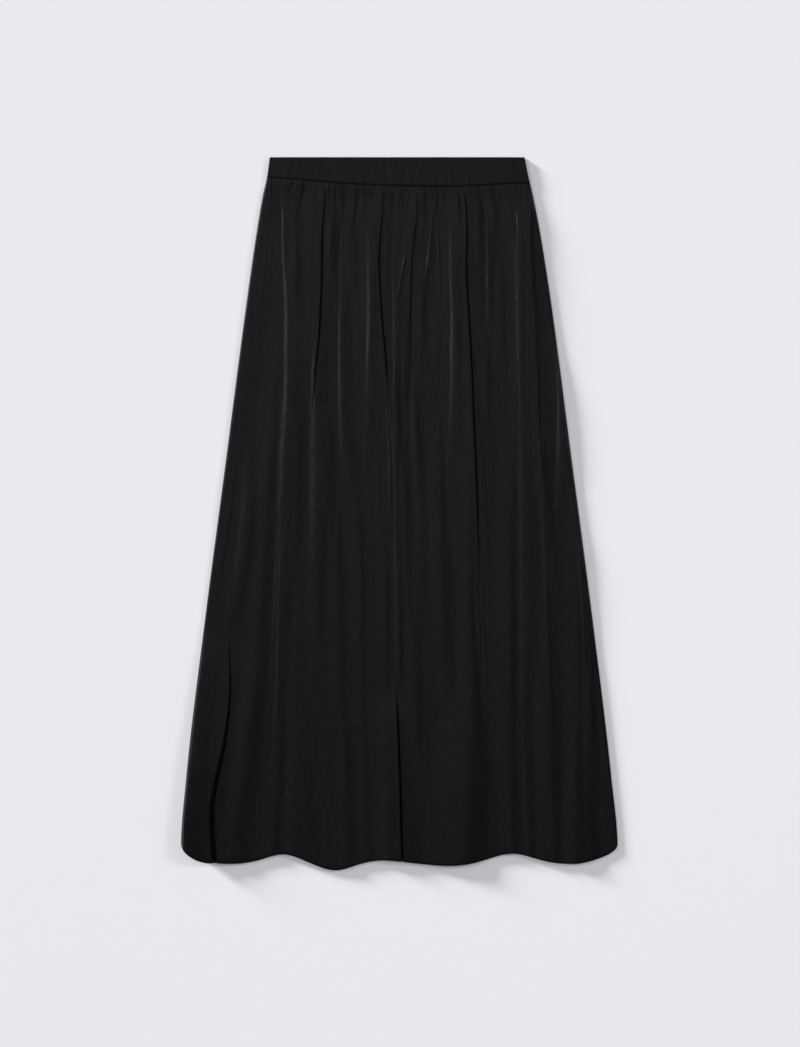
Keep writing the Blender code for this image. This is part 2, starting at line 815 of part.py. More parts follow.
def wall_mesh(name, rows, wall):
    """Closed mesh of a cloth wall around its middle surface."""
    points, triangles, edge = stitch(rows)
    normals = point_normals(points, triangles)
    first_count = len(rows[0].keys)
    last_first = len(points) - len(rows[-1].keys)
    for index in list(range(first_count)) + list(range(last_first, len(points))):
        normals[index, 1] = 0.0
        normals[index] /= np.linalg.norm(normals[index])
    upper = points + 0.5 * wall * normals
    lower = points - 0.5 * wall * normals
    count = len(points)
    corners = np.vstack((upper, lower))
    faces = [tuple(t) for t in triangles]
    faces += [(a + count, c + count, b + count) for a, b, c in triangles]
    smooth = [True] * len(faces)
    rim = []
    for a, b in zip(edge, edge[1:] + edge[:1]):
        rim.append((a, b, b + count))
        rim.append((a, b + count, a + count))
    faces += rim
    smooth += [False] * len(rim)
    return name, corners, faces, smooth, edge, count


def add_object(built, middle, colour, roughness):
    """Mesh object with its own material and crisp cut edges."""
    name, corners, faces, smooth, edge, count = built
    mesh = bpy.data.meshes.new(name)
    placed = (corners - middle) * MM
    mesh.from_pydata([tuple(float(v) for v in p) for p in placed], [], faces)
    mesh.polygons.foreach_set("use_smooth", smooth)
    cut = set()
    for a, b in zip(edge, edge[1:] + edge[:1]):
        cut.add((min(a, b), max(a, b)))
        cut.add((min(a + count, b + count), max(a + count, b + count)))
    for line in mesh.edges:
        pair = (min(line.vertices), max(line.vertices))
        line.use_edge_sharp = pair in cut
    mesh.update()
    material = bpy.data.materials.new(name + "_cloth")
    material.use_nodes = True
    shader = material.node_tree.nodes["Principled BSDF"]
    shader.inputs["Base Color"].default_value = colour
    shader.inputs["Roughness"].default_value = roughness
    shader.inputs["Metallic"].default_value = 0.0
    mesh.materials.append(material)
    part = bpy.data.objects.new(name, mesh)
    bpy.context.scene.collection.objects.link(part)
    return part


def main():
    for old in list(bpy.data.objects):
        bpy.data.objects.remove(old, do_unlink=True)
    front = wall_mesh("front_panel", front_rows(), PANEL_WALL)
    back = wall_mesh("back_panel", back_rows(), PANEL_WALL)
    band = wall_mesh("waistband_front", band_rows(front_band_shares(), front_band_height),
                     BAND_WALL)
    band_back = wall_mesh("waistband_back", band_rows(back_band_shares(), back_band_height),
                          BAND_WALL)
    everything = np.vstack([built[1] for built in (front, back, band, band_back)])
    low = everything.min(axis=0)
    high = everything.max(axis=0)
    middle = np.array([0.5 * (low[0] + high[0]), 0.5 * (low[1] + high[1]), low[2]])
    add_object(front, middle, CLOTH, CLOTH_ROUGHNESS)
    add_object(back, middle, CLOTH_BACK, CLOTH_ROUGHNESS)
    add_object(band, middle, BAND_CLOTH, BAND_ROUGHNESS)
    add_object(band_back, middle, BAND_CLOTH_BACK, BAND_ROUGHNESS)


main()
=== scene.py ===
"""Looks of a black maxi skirt laid flat: gathered panels of satin crepe on a plain waistband.

Tables are in millimetres: "down" runs from the top of the waistband to the hem and
"across" runs from the middle of the skirt to its right side. Heights stand on the surface.
"""

import math

import bpy
import numpy as np
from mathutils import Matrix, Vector


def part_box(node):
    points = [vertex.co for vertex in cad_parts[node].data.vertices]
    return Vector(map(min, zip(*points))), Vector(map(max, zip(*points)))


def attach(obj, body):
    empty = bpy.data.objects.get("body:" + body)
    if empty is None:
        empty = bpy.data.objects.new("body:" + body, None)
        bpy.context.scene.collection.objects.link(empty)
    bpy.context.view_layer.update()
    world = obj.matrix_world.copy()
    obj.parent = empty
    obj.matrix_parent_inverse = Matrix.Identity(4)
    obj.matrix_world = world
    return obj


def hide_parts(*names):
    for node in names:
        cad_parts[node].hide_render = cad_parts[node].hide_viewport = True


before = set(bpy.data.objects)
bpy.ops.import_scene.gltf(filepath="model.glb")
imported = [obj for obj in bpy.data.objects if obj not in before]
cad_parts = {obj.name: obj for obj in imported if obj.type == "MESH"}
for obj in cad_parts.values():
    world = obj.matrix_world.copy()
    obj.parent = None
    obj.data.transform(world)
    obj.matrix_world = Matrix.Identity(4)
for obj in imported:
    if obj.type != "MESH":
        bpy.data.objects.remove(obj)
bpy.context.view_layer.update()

MM = 0.001
LEAST_LENGTH = 1e-9
TOP_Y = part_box("waistband_front")[1].y

# Cloth and its layers
CLOTH = 0.7
BAND_CLOTH = 0.45
BAND_LEAF = 0.52
BAND_FRONT_AT_SIDE = 2.9
BAND_FRONT_RISE = 0.8
BAND_BACK = 0.95
TUCKED_UNDER_BAND = 1.6
SEAM_BEND = 0.2
SEAM_BEND_WIDTH = 3.0

# Heights of the cloth between its folds
BACK_LEVEL = 0.37
FRONT_EDGE = 1.15
FRONT_ROLL_WIDTH = 2.4
LEFT_ROLL = 2.3
LEFT_RISE = -0.4
RIGHT_ROLL = 0.7
RIGHT_RISE = 0.2
RISE_WIDTH = 30.0
SEAM_DIP = 1.1
SEAM_DIP_WIDTHS = (20.0, 60.0)

# The strip right of this fold lies lower: its step's width, and from where to where it widens
STEP_TRACK = "fold_5"
STEP_WIDTHS = (5.0, 50.0)
STEP_WIDENS = (380.0, 570.0)

BAND_BLEND = 16.0
EDGE_FADE = 4.0
BACK_HEM_SHORTER = 3.0

# Fullness below the waist seam
SEAM_WRINKLE_LENGTH = 22.0
SEAM_WRINKLE_START = 6.0
SEAM_AT_LEFT = 30.0
SEAM_AT_RIGHT = 34.0
GATHER_DEPTH = 0.4
GATHER_CLIMB = 3.5
GATHER_WIDENING = 160.0
TROUGH_AT_SEAM = 0.3
TROUGH_RISE = 10.0

# Unevenness of the cloth as long waves: seed, height, size across, size down
CLOTH_LIFT = 0.35
CLOTH_WRINKLES = ((3, 0.13, 34.0, 400.0), (8, 0.07, 11.0, 110.0), (12, 0.03, 5.5, 60.0))
SEAM_WRINKLES = (31, 0.36, 5.0, 26.0)
BAND_LOW_WRINKLES = (21, 0.10, 17.0, 60.0)
BAND_WRINKLES = (25, 0.07, 60.0, 80.0)
WAVE_COUNT = 14
WAVE_SIZES = (0.6, 1.7)
WAVE_SWAYS = (0.6, 1.6)
WAVE_LEANS = (-0.25, 0.25)
WAVE_BEND = 0.9
WAVE_FADE_LENGTH = 1.7

# Folds that lap over themselves
UPPER_TURN = 0.55
LOWER_TURN = 0.9
TURN_STEPS = 6
FLAT_STEPS = 2
LAP_SMALLEST = 0.3
LAP_OPENS_BELOW = 0.35
LAP_TOP = 2.2
LAP_SLOPE_WIDTH = 42.0
LAP_SLOPE_LEAST = 8.0
DITCH = 1.35
DITCH_START = 0.3
DITCH_WIDTH = 2.9
DITCH_STEPS = 5
DITCH_SHAPE = 1.35
SHOULDER_FADE = 34.0
LEAST_DEPTH = 1e-6

# Open groove at the hem: across and depth of one side from lip to bottom
GROOVE_SIDE = ((0.0, 0.0), (0.6, 0.06), (1.0, 0.35), (1.3, 0.9), (1.6, 1.7), (2.2, 2.9),
               (3.0, 4.1), (3.8, 5.0), (4.7, 5.5))
GROOVE_FLOOR = 0.25
GROOVE_SMALLEST = 0.2
GROOVE_ABOVE = 4.6
GROOVE_RIGHT_LOWER = 2.7
GROOVE_EDGE_ROLL = 4.0
GROOVE_LIP_FALL = (0.65, 16.0)
GROOVE_SHELF = 22.0
GROOVE_SLOPE_WIDTH = 36.0

# Finding where a line crosses a row
HALF_WAY_DOWN = 500.0
SETTLE_STEPS = 6

# Outline of both sides: down, left across, right across
SIDES = (
    (0.0, -173.3, 167.5),
    (27.0, -177.0, 173.0),
    (50.0, -182.4, 178.4),
    (97.0, -190.4, 187.7),
    (190.0, -203.8, 202.5),
    (405.0, -232.0, 230.7),
    (620.0, -260.2, 258.8),
    (834.0, -285.6, 284.3),
    (921.0, -292.3, 292.3),
    (960.0, -292.3, 292.3),
)

# Hem: its level, and each wave as across, lower by, half width
HEM_LEVEL = 944.5
HEM_OUTLINE_WAVES = (
    (-225.0, 1.4, 30.0),
    (-156.0, -11.0, 30.0),
    (-86.0, 10.5, 30.0),
    (-20.0, -3.2, 30.0),
    (64.0, 4.2, 42.0),
    (151.0, -12.0, 36.0),
    (228.0, 1.8, 34.0),
)
LEFT_CORNER = (36.0, 26.0, 1.7)
RIGHT_CORNER = (60.0, 23.0, 1.75)

# Waist seam: across, down
SEAM = (
    (-180.0, 26.8),
    (-138.0, 29.5),
    (-72.0, 35.7),
    (0.0, 38.5),
    (68.0, 39.4),
    (131.0, 36.5),
    (180.0, 34.9),
)

# Lines that the cloth follows from waist to hem: down, across
MIDDLE_TRACK = "fold_2"
TRACKS = {
    "hem_groove": ((30, -170), (244, -196), (512, -219), (646, -228), (711, -226.5),
                   (775, -232.5), (839, -245.5), (872, -251), (904, -251), (950, -247)),
    "left_ridge": ((30, -156), (83, -158), (250, -152), (520, -163), (720, -171),
                   (950, -175)),
    "fold_1": ((30, -98), (43, -99), (75, -102), (107, -104.4), (172, -105.2), (204, -106.8),
               (230, -107.8), (262, -110.8), (292, -113.2), (318, -114.6), (345, -115.5),
               (540, -120), (780, -120), (950, -112)),
    "fold_2": ((35, -20), (43, -21.5), (75, -23.2), (107, -26.1), (140, -28), (172, -27),
               (204, -25), (268, -19.6), (320, -15.2), (345, -13.6), (438, -9), (713, -4.4),
               (778, -2.4), (842, 0), (907, 1.6), (950, 3.0)),
    "fold_3": ((35, 25), (43, 24.3), (75, 23.8), (107, 19.6), (140, 16.3), (172, 15),
               (236, 13.6), (290, 13.6), (646, 24), (950, 43)),
    "fold_4": ((35, 83), (43, 85), (75, 89), (107, 89.8), (140, 88.8), (172, 89.6),
               (204, 91.5), (268, 95.3), (365, 99.3), (461, 103.3), (558, 106.6), (950, 123)),
    "right_ridge": ((35, 151.5), (70, 156.2), (250, 160), (519, 162.3), (787, 168),
                    (950, 175)),
    "fold_5": ((35, 168), (63, 176.6), (127, 176.6), (160, 178), (224, 182), (288, 185.2),
               (353, 187.6), (417, 190.4), (481, 192.4), (807, 213.2), (950, 223.9)),
}

# Laps: track, overlap, shoulder, and size along the fold as down, size
LAPS = (
    ("fold_1", 4.5, 1.3, ((33, 0), (44, 0.32), (56, 0.55), (90, 0.9), (180, 1.05), (262, 1.0),
                          (300, 0.5), (338, 0))),
    ("fold_2", 5.0, 1.3, ((35, 0), (52, 0.3), (72, 0.55), (110, 0.75), (140, 1.0), (272, 1.0),
                          (300, 0.6), (340, 0), (420, 0), (640, 0), (700, 0),
                          (714, 0.18), (726, 0.4), (740, 0.75), (756, 1.1), (860, 1.35),
                          (960, 1.35))),
    ("fold_3", 4.0, 1.2, ((41, 0), (56, 0.4), (110, 0.65), (230, 0.6), (270, 0.45),
                          (316, 0))),
    ("fold_4", 5.0, 1.3, ((40, 0), (54, 0.45), (80, 0.8), (140, 1.1), (440, 1.1),
                          (490, 0.8), (530, 0.4), (590, 0))),
    ("fold_5", 4.5, 0.2, ((58, 0), (72, 0.5), (92, 0.9), (200, 1.0), (325, 1.0),
                          (356, 0.6), (400, 0.35), (440, 0.15), (470, 0))),
)
GROOVE_TRACK = "hem_groove"
GROOVE_START = 628.0
GROOVE_OPENS = 50.0
GROOVE_FULL = 925.0

# Gathers: across at the seam, depth, half width, length, lean
GATHERS = (
    (-168.5, 1.2, 1.5, 26, 0.05),
    (-159.5, 0.9, 1.4, 18, -0.10),
    (-150.5, 1.0, 1.3, 22, 0.12),
    (-144.0, 2.4, 1.5, 30, -0.12),
    (-140.0, 1.6, 1.2, 22, 0.20),
    (-128.0, 2.4, 1.9, 92, -0.12),
    (-119.5, 1.0, 1.3, 24, 0.10),
    (-111.5, 1.6, 1.6, 48, 0.04),
    (-93.5, 1.2, 1.4, 26, -0.06),
    (-87.5, 1.6, 1.5, 60, 0.05),
    (-80.5, 1.3, 1.3, 34, 0.12),
    (-75.0, 2.1, 1.7, 78, 0.02),
    (-68.5, 1.2, 1.3, 28, -0.14),
    (-55.5, 2.3, 1.8, 110, -0.06),
    (-46.0, 1.2, 1.4, 36, 0.10),
    (-38.0, 1.8, 1.4, 34, 0.06),
    (-33.5, 1.7, 1.3, 38, 0.02),
    (-29.0, 1.2, 1.2, 30, 0.0),
    (-10.0, 1.9, 1.7, 74, 0.02),
    (1.5, 1.2, 1.5, 28, 0.14),
    (6.0, 1.7, 1.6, 96, 0.02),
    (14.5, 1.9, 1.7, 88, -0.08),
    (34.0, 1.8, 1.7, 62, -0.04),
    (42.0, 1.2, 1.4, 30, 0.10),
    (49.0, 2.0, 1.5, 46, -0.08),
    (56.0, 1.5, 1.4, 40, 0.08),
    (63.0, 1.0, 1.3, 24, -0.10),
    (76.0, 2.3, 1.8, 88, 0.03),
    (94.5, 1.2, 1.4, 28, 0.10),
    (101.0, 2.0, 1.8, 66, 0.06),
    (109.5, 1.1, 1.4, 30, -0.08),
    (121.0, 1.5, 1.6, 36, 0.08),
    (129.5, 1.9, 1.7, 52, 0.05),
    (138.0, 1.3, 1.6, 26, -0.06),
)

# Thin creases, wider toward the hem: name, half width, and each row as down, across, height
CREASE_WIDENING = 0.6
CREASES = (
    ("left_thin", 1.7, ((500, -158, 0), (560, -159.5, 0.3), (610, -161.3, 0.4),
                        (640, -161.6, 0.4), (700, -162, 0.45), (760, -166, 0.3),
                        (820, -171, 0.3), (880, -173.5, 0.3), (960, -175, 0.2))),
    ("left_branch", 1.7, ((500, -161.6, 0), (553, -164, 0.3), (610, -167.5, 0.4),
                          (640, -169, 0.4), (700, -170.5, 0.35), (760, -174.5, 0.3),
                          (910, -180, 0.25), (960, -181, 0.2))),
    ("left_second", 2.6, ((395, -218, 0), (430, -222, 0.45), (470, -227, 0.5),
                          (518, -235, 0.4), (565, -243, 0))),
    ("above_groove", 2.2, ((555, -226, 0), (590, -228, 0.45), (620, -229, 0.3),
                           (645, -229.5, 0))),
    ("centre_left", 1.6, ((296, -18.4, 0), (320, -17, 0.7), (350, -15.6, 0.8),
                          (390, -13.2, 0.8), (430, -12, 0.75), (470, -10.6, 0.6),
                          (510, -8.8, 0.4), (560, -7, 0))),
    ("centre_slant", 1.5, ((112, 10.8, 0), (130, 8.2, 0.4), (148, 5.2, 0.75),
                           (172, 1.0, 0.7), (200, -3.6, 0))),
    ("right_slant", 1.5, ((66, 46, 0), (100, 42.8, 0.45), (125, 40.2, 1.0),
                          (145, 37.8, 0.9), (172, 34.4, 0))),
    ("right_fine", 1.3, ((100, 52.6, 0), (125, 53, 0.5), (170, 53.6, 0.45), (205, 54, 0))),
    ("below_fold_4", 1.6, ((555, 110.5, 0), (590, 111.5, 0.4), (640, 113, 0.4),
                           (690, 116, 0.3), (735, 117, 0))),
    ("beside_fold_4", 1.5, ((585, 105.5, 0), (617, 106.6, 0.4), (650, 107, 0.3),
                            (700, 107, 0))),
    ("right_thin", 1.5, ((690, 163.2, 0), (740, 164.5, 0.3), (800, 166.5, 0.35),
                         (870, 169.5, 0.3), (960, 173, 0.25))),
    ("below_fold_5", 1.8, ((515, 193.5, 0), (560, 195.4, 0.4), (630, 198.5, 0.4),
                           (690, 201, 0.3), (760, 204, 0))),
)

# Swells of the cloth between the folds, hollows where negative. Each row is down, across at
# the crest, height, width of the rise on its left and width of the fall on its right
SWELLS = (
    ((640, -258, 0, 3, 24), (700, -268, 1.5, 3, 28), (760, -276, 2.3, 3, 31),
     (820, -282, 3.2, 3, 34), (880, -287, 3.6, 3, 34), (960, -289, 3.3, 3, 34)),
    ((170, -172, 0, 24, 14), (240, -174, -0.7, 28, 14), (300, -178, -1.2, 34, 15),
     (360, -181, -1.2, 34, 15), (400, -186, -1.0, 26, 14), (440, -190, -0.4, 20, 14),
     (480, -192, 0, 20, 14)),
    ((380, -204, 0, 10, 22), (420, -203, 1.0, 10, 22), (450, -203.5, 1.7, 11, 22),
     (500, -206, 2.0, 13, 20), (560, -213, 1.8, 14, 18), (610, -222, 0.9, 14, 18),
     (650, -226, 0, 14, 18)),
    ((200, -166, 0, 12, 10), (250, -168, 0.4, 14, 10), (300, -171, 0.7, 16, 12),
     (340, -174, 1.0, 16, 13), (400, -178, 1.4, 16, 14), (450, -179.5, 1.5, 16, 15),
     (500, -181, 1.6, 16, 16), (560, -186, 1.8, 16, 16), (640, -191, 1.7, 18, 18),
     (700, -194, 1.9, 20, 20), (760, -203, 2.2, 23, 22), (820, -209, 2.3, 26, 24),
     (880, -217, 2.3, 26, 26), (930, -223, 1.8, 26, 26), (960, -224, 1.6, 26, 26)),
    ((34, -155, 0, 4, 18), (52, -154.8, 0.55, 4, 20), (83, -154.4, 0.95, 4, 24),
     (120, -153.9, 1.25, 4.5, 26), (145, -152.6, 1.6, 5, 26), (182, -149.8, 1.8, 6, 28),
     (240, -148.4, 2.2, 7, 30), (300, -148.7, 2.5, 8, 30), (350, -150, 2.6, 10, 30),
     (400, -152.2, 2.7, 12, 30), (460, -154.2, 2.4, 12, 30), (500, -155.2, 2.1, 12, 28),
     (560, -157.2, 1.9, 13, 24), (610, -157.8, 1.7, 13, 18), (640, -159, 1.5, 13, 15),
     (700, -160.5, 1.25, 12, 12), (760, -161.5, 1.1, 13, 11), (820, -163, 1.1, 14, 12),
     (880, -167, 1.0, 14, 12), (960, -170, 0.6, 14, 12)),
    ((50, -137, 0, 12, 10), (85, -138.5, 0.8, 12, 11), (150, -139.5, 1.3, 13, 13),
     (180, -139.5, 1.2, 13, 13), (215, -140, 0, 13, 13)),
    ((320, -138, 0, 12, 10), (380, -138, 0.3, 12, 10), (450, -137, 0.4, 12, 10),
     (560, -137, 0.5, 13, 11), (640, -140, 0.8, 15, 16), (700, -141, 1.0, 16, 24),
     (780, -140, 1.4, 16, 34), (860, -139, 1.6, 16, 36), (960, -138, 1.4, 16, 36)),
    ((228, -110, 0, 5, 20), (262, -111.6, 0.8, 5, 22), (290, -113.8, 1.3, 5.5, 24),
     (320, -113.4, 1.8, 7, 26), (345, -111.8, 2.1, 9, 28), (375, -110.5, 2.6, 12, 30),
     (440, -110, 2.9, 13, 32), (504, -110.5, 2.5, 13, 28), (545, -111.5, 1.8, 13, 18),
     (600, -112, 1.1, 13, 16), (650, -113, 0.7, 11, 16), (740, -114, 0, 10, 16)),
    ((68, -92, 0, 8, 9), (105, -92, 0.9, 8, 10), (140, -92, 0.8, 8, 10),
     (170, -92, 0, 8, 10)),
    ((56, -75, 0, 4, 14), (85, -75, 0.4, 4, 14), (109, -75.5, 0.7, 4, 14),
     (180, -77.5, 0.9, 4, 16), (237, -78.5, 1.4, 4.5, 18), (334, -77.3, 1.6, 6, 20),
     (380, -74.5, 1.6, 7, 20), (410, -72, 1.3, 8, 20), (450, -66.5, 1.0, 10, 18),
     (490, -60, 0.8, 13, 14), (545, -57, 0, 13, 12)),
    ((440, -86, 0, 18, 12), (500, -84, 1.0, 18, 12), (570, -84, 1.4, 18, 13),
     (640, -82, 1.3, 18, 12), (700, -81, 1.0, 18, 11), (760, -77, 1.1, 16, 10),
     (800, -74, 1.3, 16, 10), (860, -72, 1.1, 16, 10), (960, -68, 0.9, 16, 10)),
    ((50, -62, 0, 10, 10), (75, -61, 0.6, 10, 10), (100, -64, 1.0, 11, 12),
     (130, -64.5, 1.2, 11, 13), (170, -64.5, 0.9, 11, 12), (205, -64, 0, 11, 12)),
    ((460, -55, 0, 12, 9), (520, -54, 0.7, 12, 9), (580, -53, 1.0, 12, 9),
     (650, -53, 0.9, 11, 9), (700, -51, 0.7, 11, 9), (760, -48.5, 0.7, 11, 8),
     (830, -46.5, 0.9, 12, 8), (900, -45, 0.7, 12, 8), (960, -44, 0.6, 12, 8)),
    ((76, -41, 0, 3, 14), (125, -40.5, 0.6, 3.5, 14), (160, -40, 0.9, 4, 14),
     (200, -39.3, 1.4, 5, 14), (230, -39.6, 1.5, 5, 14), (265, -40.2, 1.4, 5, 15),
     (320, -41.7, 1.0, 5, 15), (380, -44, 0.6, 5, 14), (440, -46, 0, 5, 12)),
    ((370, -28, 0, 8, 6), (410, -28, 0.4, 8, 6), (465, -28, 0.4, 8, 6), (510, -27, 0, 8, 6)),
    ((480, -20, 0, 12, 8), (540, -20.5, 0.5, 12, 8), (600, -19, 0.7, 12, 8),
     (660, -19, 0.6, 13, 8), (720, -19, 0.7, 14, 10), (800, -18, 0.9, 14, 12),
     (870, -16, 1.2, 14, 13), (960, -15, 1.0, 14, 13)),
    ((88, -5, 0, 3, 10), (117, -6, 0.3, 3, 10), (149, -8, 0.4, 3, 12),
     (185, -6.6, 0.8, 3.5, 15), (245, -5.7, 1.0, 3.5, 15), (300, -5.6, 1.0, 3.5, 15),
     (342, -5.2, 0.9, 4, 14), (400, -4.8, 0.6, 4, 12), (440, -4.6, 0, 4, 10)),
    ((285, -14.5, 0, 4, 14), (317, -12.8, 0.9, 5, 16), (350, -11, 1.2, 5.5, 16),
     (390, -6.8, 1.3, 6, 20), (440, -5, 1.4, 6, 22), (500, -3.8, 1.4, 6, 18),
     (570, -2.5, 1.3, 5.5, 13), (640, -1.5, 1.1, 5, 9), (700, -0.5, 0.5, 4, 6),
     (740, 0, 0, 4, 6)),
    ((222, 6, 0, 5, 6), (250, 6.3, 0.35, 5, 6), (320, 6.5, 0.4, 5, 6), (352, 6.5, 0, 5, 6)),
    ((380, 7, 0, 8, 12), (440, 8, 0.6, 8, 14), (500, 9, 0.7, 8, 14), (560, 10.5, 0.8, 8, 14),
     (620, 13.5, 1.0, 10, 15), (655, 17, 1.2, 12, 16), (700, 19, 1.4, 14, 18),
     (730, 21, 1.4, 16, 20), (803, 29, 1.4, 20, 20), (850, 36, 1.0, 20, 18),
     (890, 43, 0.5, 20, 16), (925, 48, 0, 20, 16)),
    ((288, 18, 0, 4, 14), (320, 19, 0.8, 4.5, 12), (360, 19.8, 0.8, 5, 11),
     (390, 21.5, 0.6, 5, 10), (430, 23, 0.3, 6, 10), (475, 24, 0, 6, 10)),
    ((148, 29, 0, 10, 9), (190, 29, 0.8, 10, 10), (240, 29.5, 0.7, 10, 10),
     (280, 30, 0, 10, 10)),
    ((330, 18, 0, 8, 12), (370, 21.5, 0.8, 8, 13), (410, 24, 0.9, 8, 14),
     (450, 25, 0.8, 8, 15), (500, 25.5, 0.8, 8, 15), (560, 25, 0.6, 8, 16),
     (620, 24, 0.4, 8, 18), (680, 24, 0, 8, 18)),
    ((188, 49, 0, 9, 8), (225, 49.5, 0.6, 9, 9), (265, 50, 0.5, 9, 9), (295, 50, 0, 9, 9)),
    ((330, 52, 0, 12, 8), (390, 53, 0.8, 14, 9), (450, 53, 0.9, 14, 10),
     (500, 53, 1.3, 14, 15), (560, 54, 1.6, 15, 18), (600, 55, 1.4, 14, 18),
     (640, 57, 1.2, 14, 18), (700, 62, 0.9, 14, 18), (740, 64, 0.5, 14, 18),
     (800, 66, 0, 14, 16)),
    ((44, 70, 0, 3, 14), (88, 69.7, 0.4, 3, 14), (140, 70, 0.8, 4, 16),
     (200, 71.8, 1.3, 4.5, 16), (240, 72.4, 1.8, 5, 16), (282, 72.4, 1.5, 5, 16),
     (346, 71, 1.1, 5, 16), (385, 69, 0.7, 6, 12), (420, 67, 0.4, 6, 10),
     (465, 66, 0, 6, 10)),
    ((400, 90, 0, 12, 9), (450, 91, 0.6, 12, 9), (500, 92, 0.7, 12, 9), (560, 93, 0.9, 14, 8),
     (620, 93, 1.1, 16, 10), (690, 95, 1.5, 22, 14), (760, 93, 2.8, 44, 26),
     (803, 91, 3.8, 56, 34), (870, 88, 4.5, 62, 37), (960, 86, 3.8, 62, 37)),
    ((56, 104, 0, 6, 8), (90, 104.5, 0.6, 6, 9), (115, 104.5, 0.5, 6, 9),
     (145, 105, 0, 6, 9)),
    ((54, 117, 0, 3, 12), (102, 118, 0.5, 3, 12), (134, 119, 0.9, 3.5, 12),
     (170, 119, 1.3, 4, 12), (205, 119.3, 1.0, 4, 12), (255, 121, 0, 4, 12)),
    ((52, 126, 0, 8, 7), (85, 126, 0.45, 8, 7), (118, 127, 0, 8, 7)),
    ((238, 116, 0, 9, 9), (280, 116, 0.5, 9, 9), (300, 116, 0.5, 9, 9), (345, 117, 0, 9, 9)),
    ((128, 133, 0, 14, 11), (180, 134, 0.9, 14, 12), (250, 134, 0.8, 14, 12),
     (305, 135, 0, 14, 12)),
    ((370, 147, 0, 20, 10), (434, 147.5, 0.6, 20, 10), (500, 147.5, 0.8, 22, 11),
     (600, 147, 1.1, 22, 12), (700, 147.5, 1.1, 22, 11), (800, 148, 1.1, 22, 11),
     (900, 150, 1.3, 22, 12), (960, 151, 1.2, 22, 12)),
    ((60, 157.5, 0, 3, 12), (80, 157.8, 0.3, 3, 12), (110, 158, 0.8, 3.5, 14),
     (160, 158.8, 1.2, 4, 14), (260, 161, 1.4, 4.5, 14), (327, 163, 1.1, 5, 14),
     (400, 165, 1.15, 6.5, 24), (500, 166, 1.25, 7, 28), (600, 166.5, 1.2, 7, 28),
     (680, 167.5, 1.0, 7, 20), (740, 168.5, 0.6, 7, 12), (870, 173, 0.6, 7, 10),
     (960, 176, 0.4, 6, 10)),
    ((150, 171, 0, 5, 7), (180, 172, 0.35, 5, 7), (300, 173, 0.35, 5, 7),
     (345, 173.5, 0, 5, 7)),
    ((70, 181, 0, 3, 10), (130, 181, -0.3, 3, 12), (200, 183.5, -0.45, 3, 18),
     (300, 190, -0.5, 3, 24), (380, 194, -0.3, 3, 30), (430, 196, 0, 3, 30)),
    ((365, 190.5, 0, 6, 16), (400, 191.5, 1.2, 6, 20), (450, 193, 1.1, 7, 20),
     (500, 195, 1.1, 8, 20), (560, 198, 0.8, 8, 18), (620, 200, 0.5, 8, 16),
     (680, 202, 0, 8, 14)),
    ((560, 194, 0, 20, 14), (640, 197, 0.8, 20, 16), (700, 199, 1.3, 22, 18),
     (760, 199.5, 1.7, 22, 20), (820, 200, 1.7, 22, 20), (880, 202, 1.2, 22, 18),
     (960, 204, 0.9, 22, 18)),
    ((218, 208, 0, 3, 10), (244, 210, 0.5, 3.5, 10), (300, 214, 1.3, 4, 12),
     (340, 215.3, 1.6, 4.5, 20), (400, 214.8, 1.5, 5, 26), (440, 213, 1.0, 5.5, 20),
     (500, 212, 0.4, 6, 16), (545, 212, 0, 6, 16)),
    ((70, 182, 0, 8, 8), (130, 192, 0.2, 12, 8), (220, 205, 0.3, 18, 8),
     (300, 217, 0.4, 24, 8), (400, 231, 0.6, 28, 8), (500, 243, 0.7, 28, 8),
     (600, 240, 0.9, 24, 12), (700, 238, 1.1, 22, 16), (800, 237, 1.5, 20, 20),
     (860, 236, 2.2, 20, 30), (960, 238, 2.2, 20, 32)),
    ((495, 242, 0, 5, 3), (530, 244, 0.7, 5, 2.6), (560, 245.2, 1.0, 5, 2.6),
     (600, 246.9, 1.25, 5, 2.6), (650, 249, 1.1, 5, 3), (700, 250.6, 0.8, 6, 5),
     (760, 252, 0.6, 7, 6), (800, 253, 0.3, 8, 6), (840, 253, 0, 8, 6)),
    ((530, 249, 0, 3, 8), (560, 250.4, 0.7, 3, 8), (600, 251.4, 0.7, 3, 8),
     (650, 253.4, 0.7, 3.5, 8), (700, 255.3, 0.9, 5, 8), (750, 256.5, 0.8, 6, 8),
     (800, 257.5, 0.4, 6, 8), (850, 258, 0, 6, 8)),
    ((690, 250, 0, 12, 14), (760, 252, 0.5, 12, 15), (820, 254, 0.7, 10, 16),
     (880, 255, 0.6, 10, 16), (960, 255, 0.6, 10, 16)),
)

# Columns inside each gap between tracks, and rows as from part, to part, how many
GAP_COLUMNS = (28, 42, 52, 66, 38, 56, 47, 28, 38)
ROW_STRETCHES = ((0.0, 0.012, 5), (0.012, 0.12, 26), (0.12, 0.38, 23), (0.38, 0.715, 17),
                 (0.715, 0.8, 10), (0.8, 0.985, 8), (0.985, 1.0, 4))
GAP_SAMPLES = 500
CREASE_REACH = 2.2
COLUMNS_ON_CREASE = 2.6
SWELL_REACH = 0.7
COLUMNS_ON_SWELL = 8.0
COLUMNS_AT_SIDE = 4.0
SIDE_REACH = 5.0

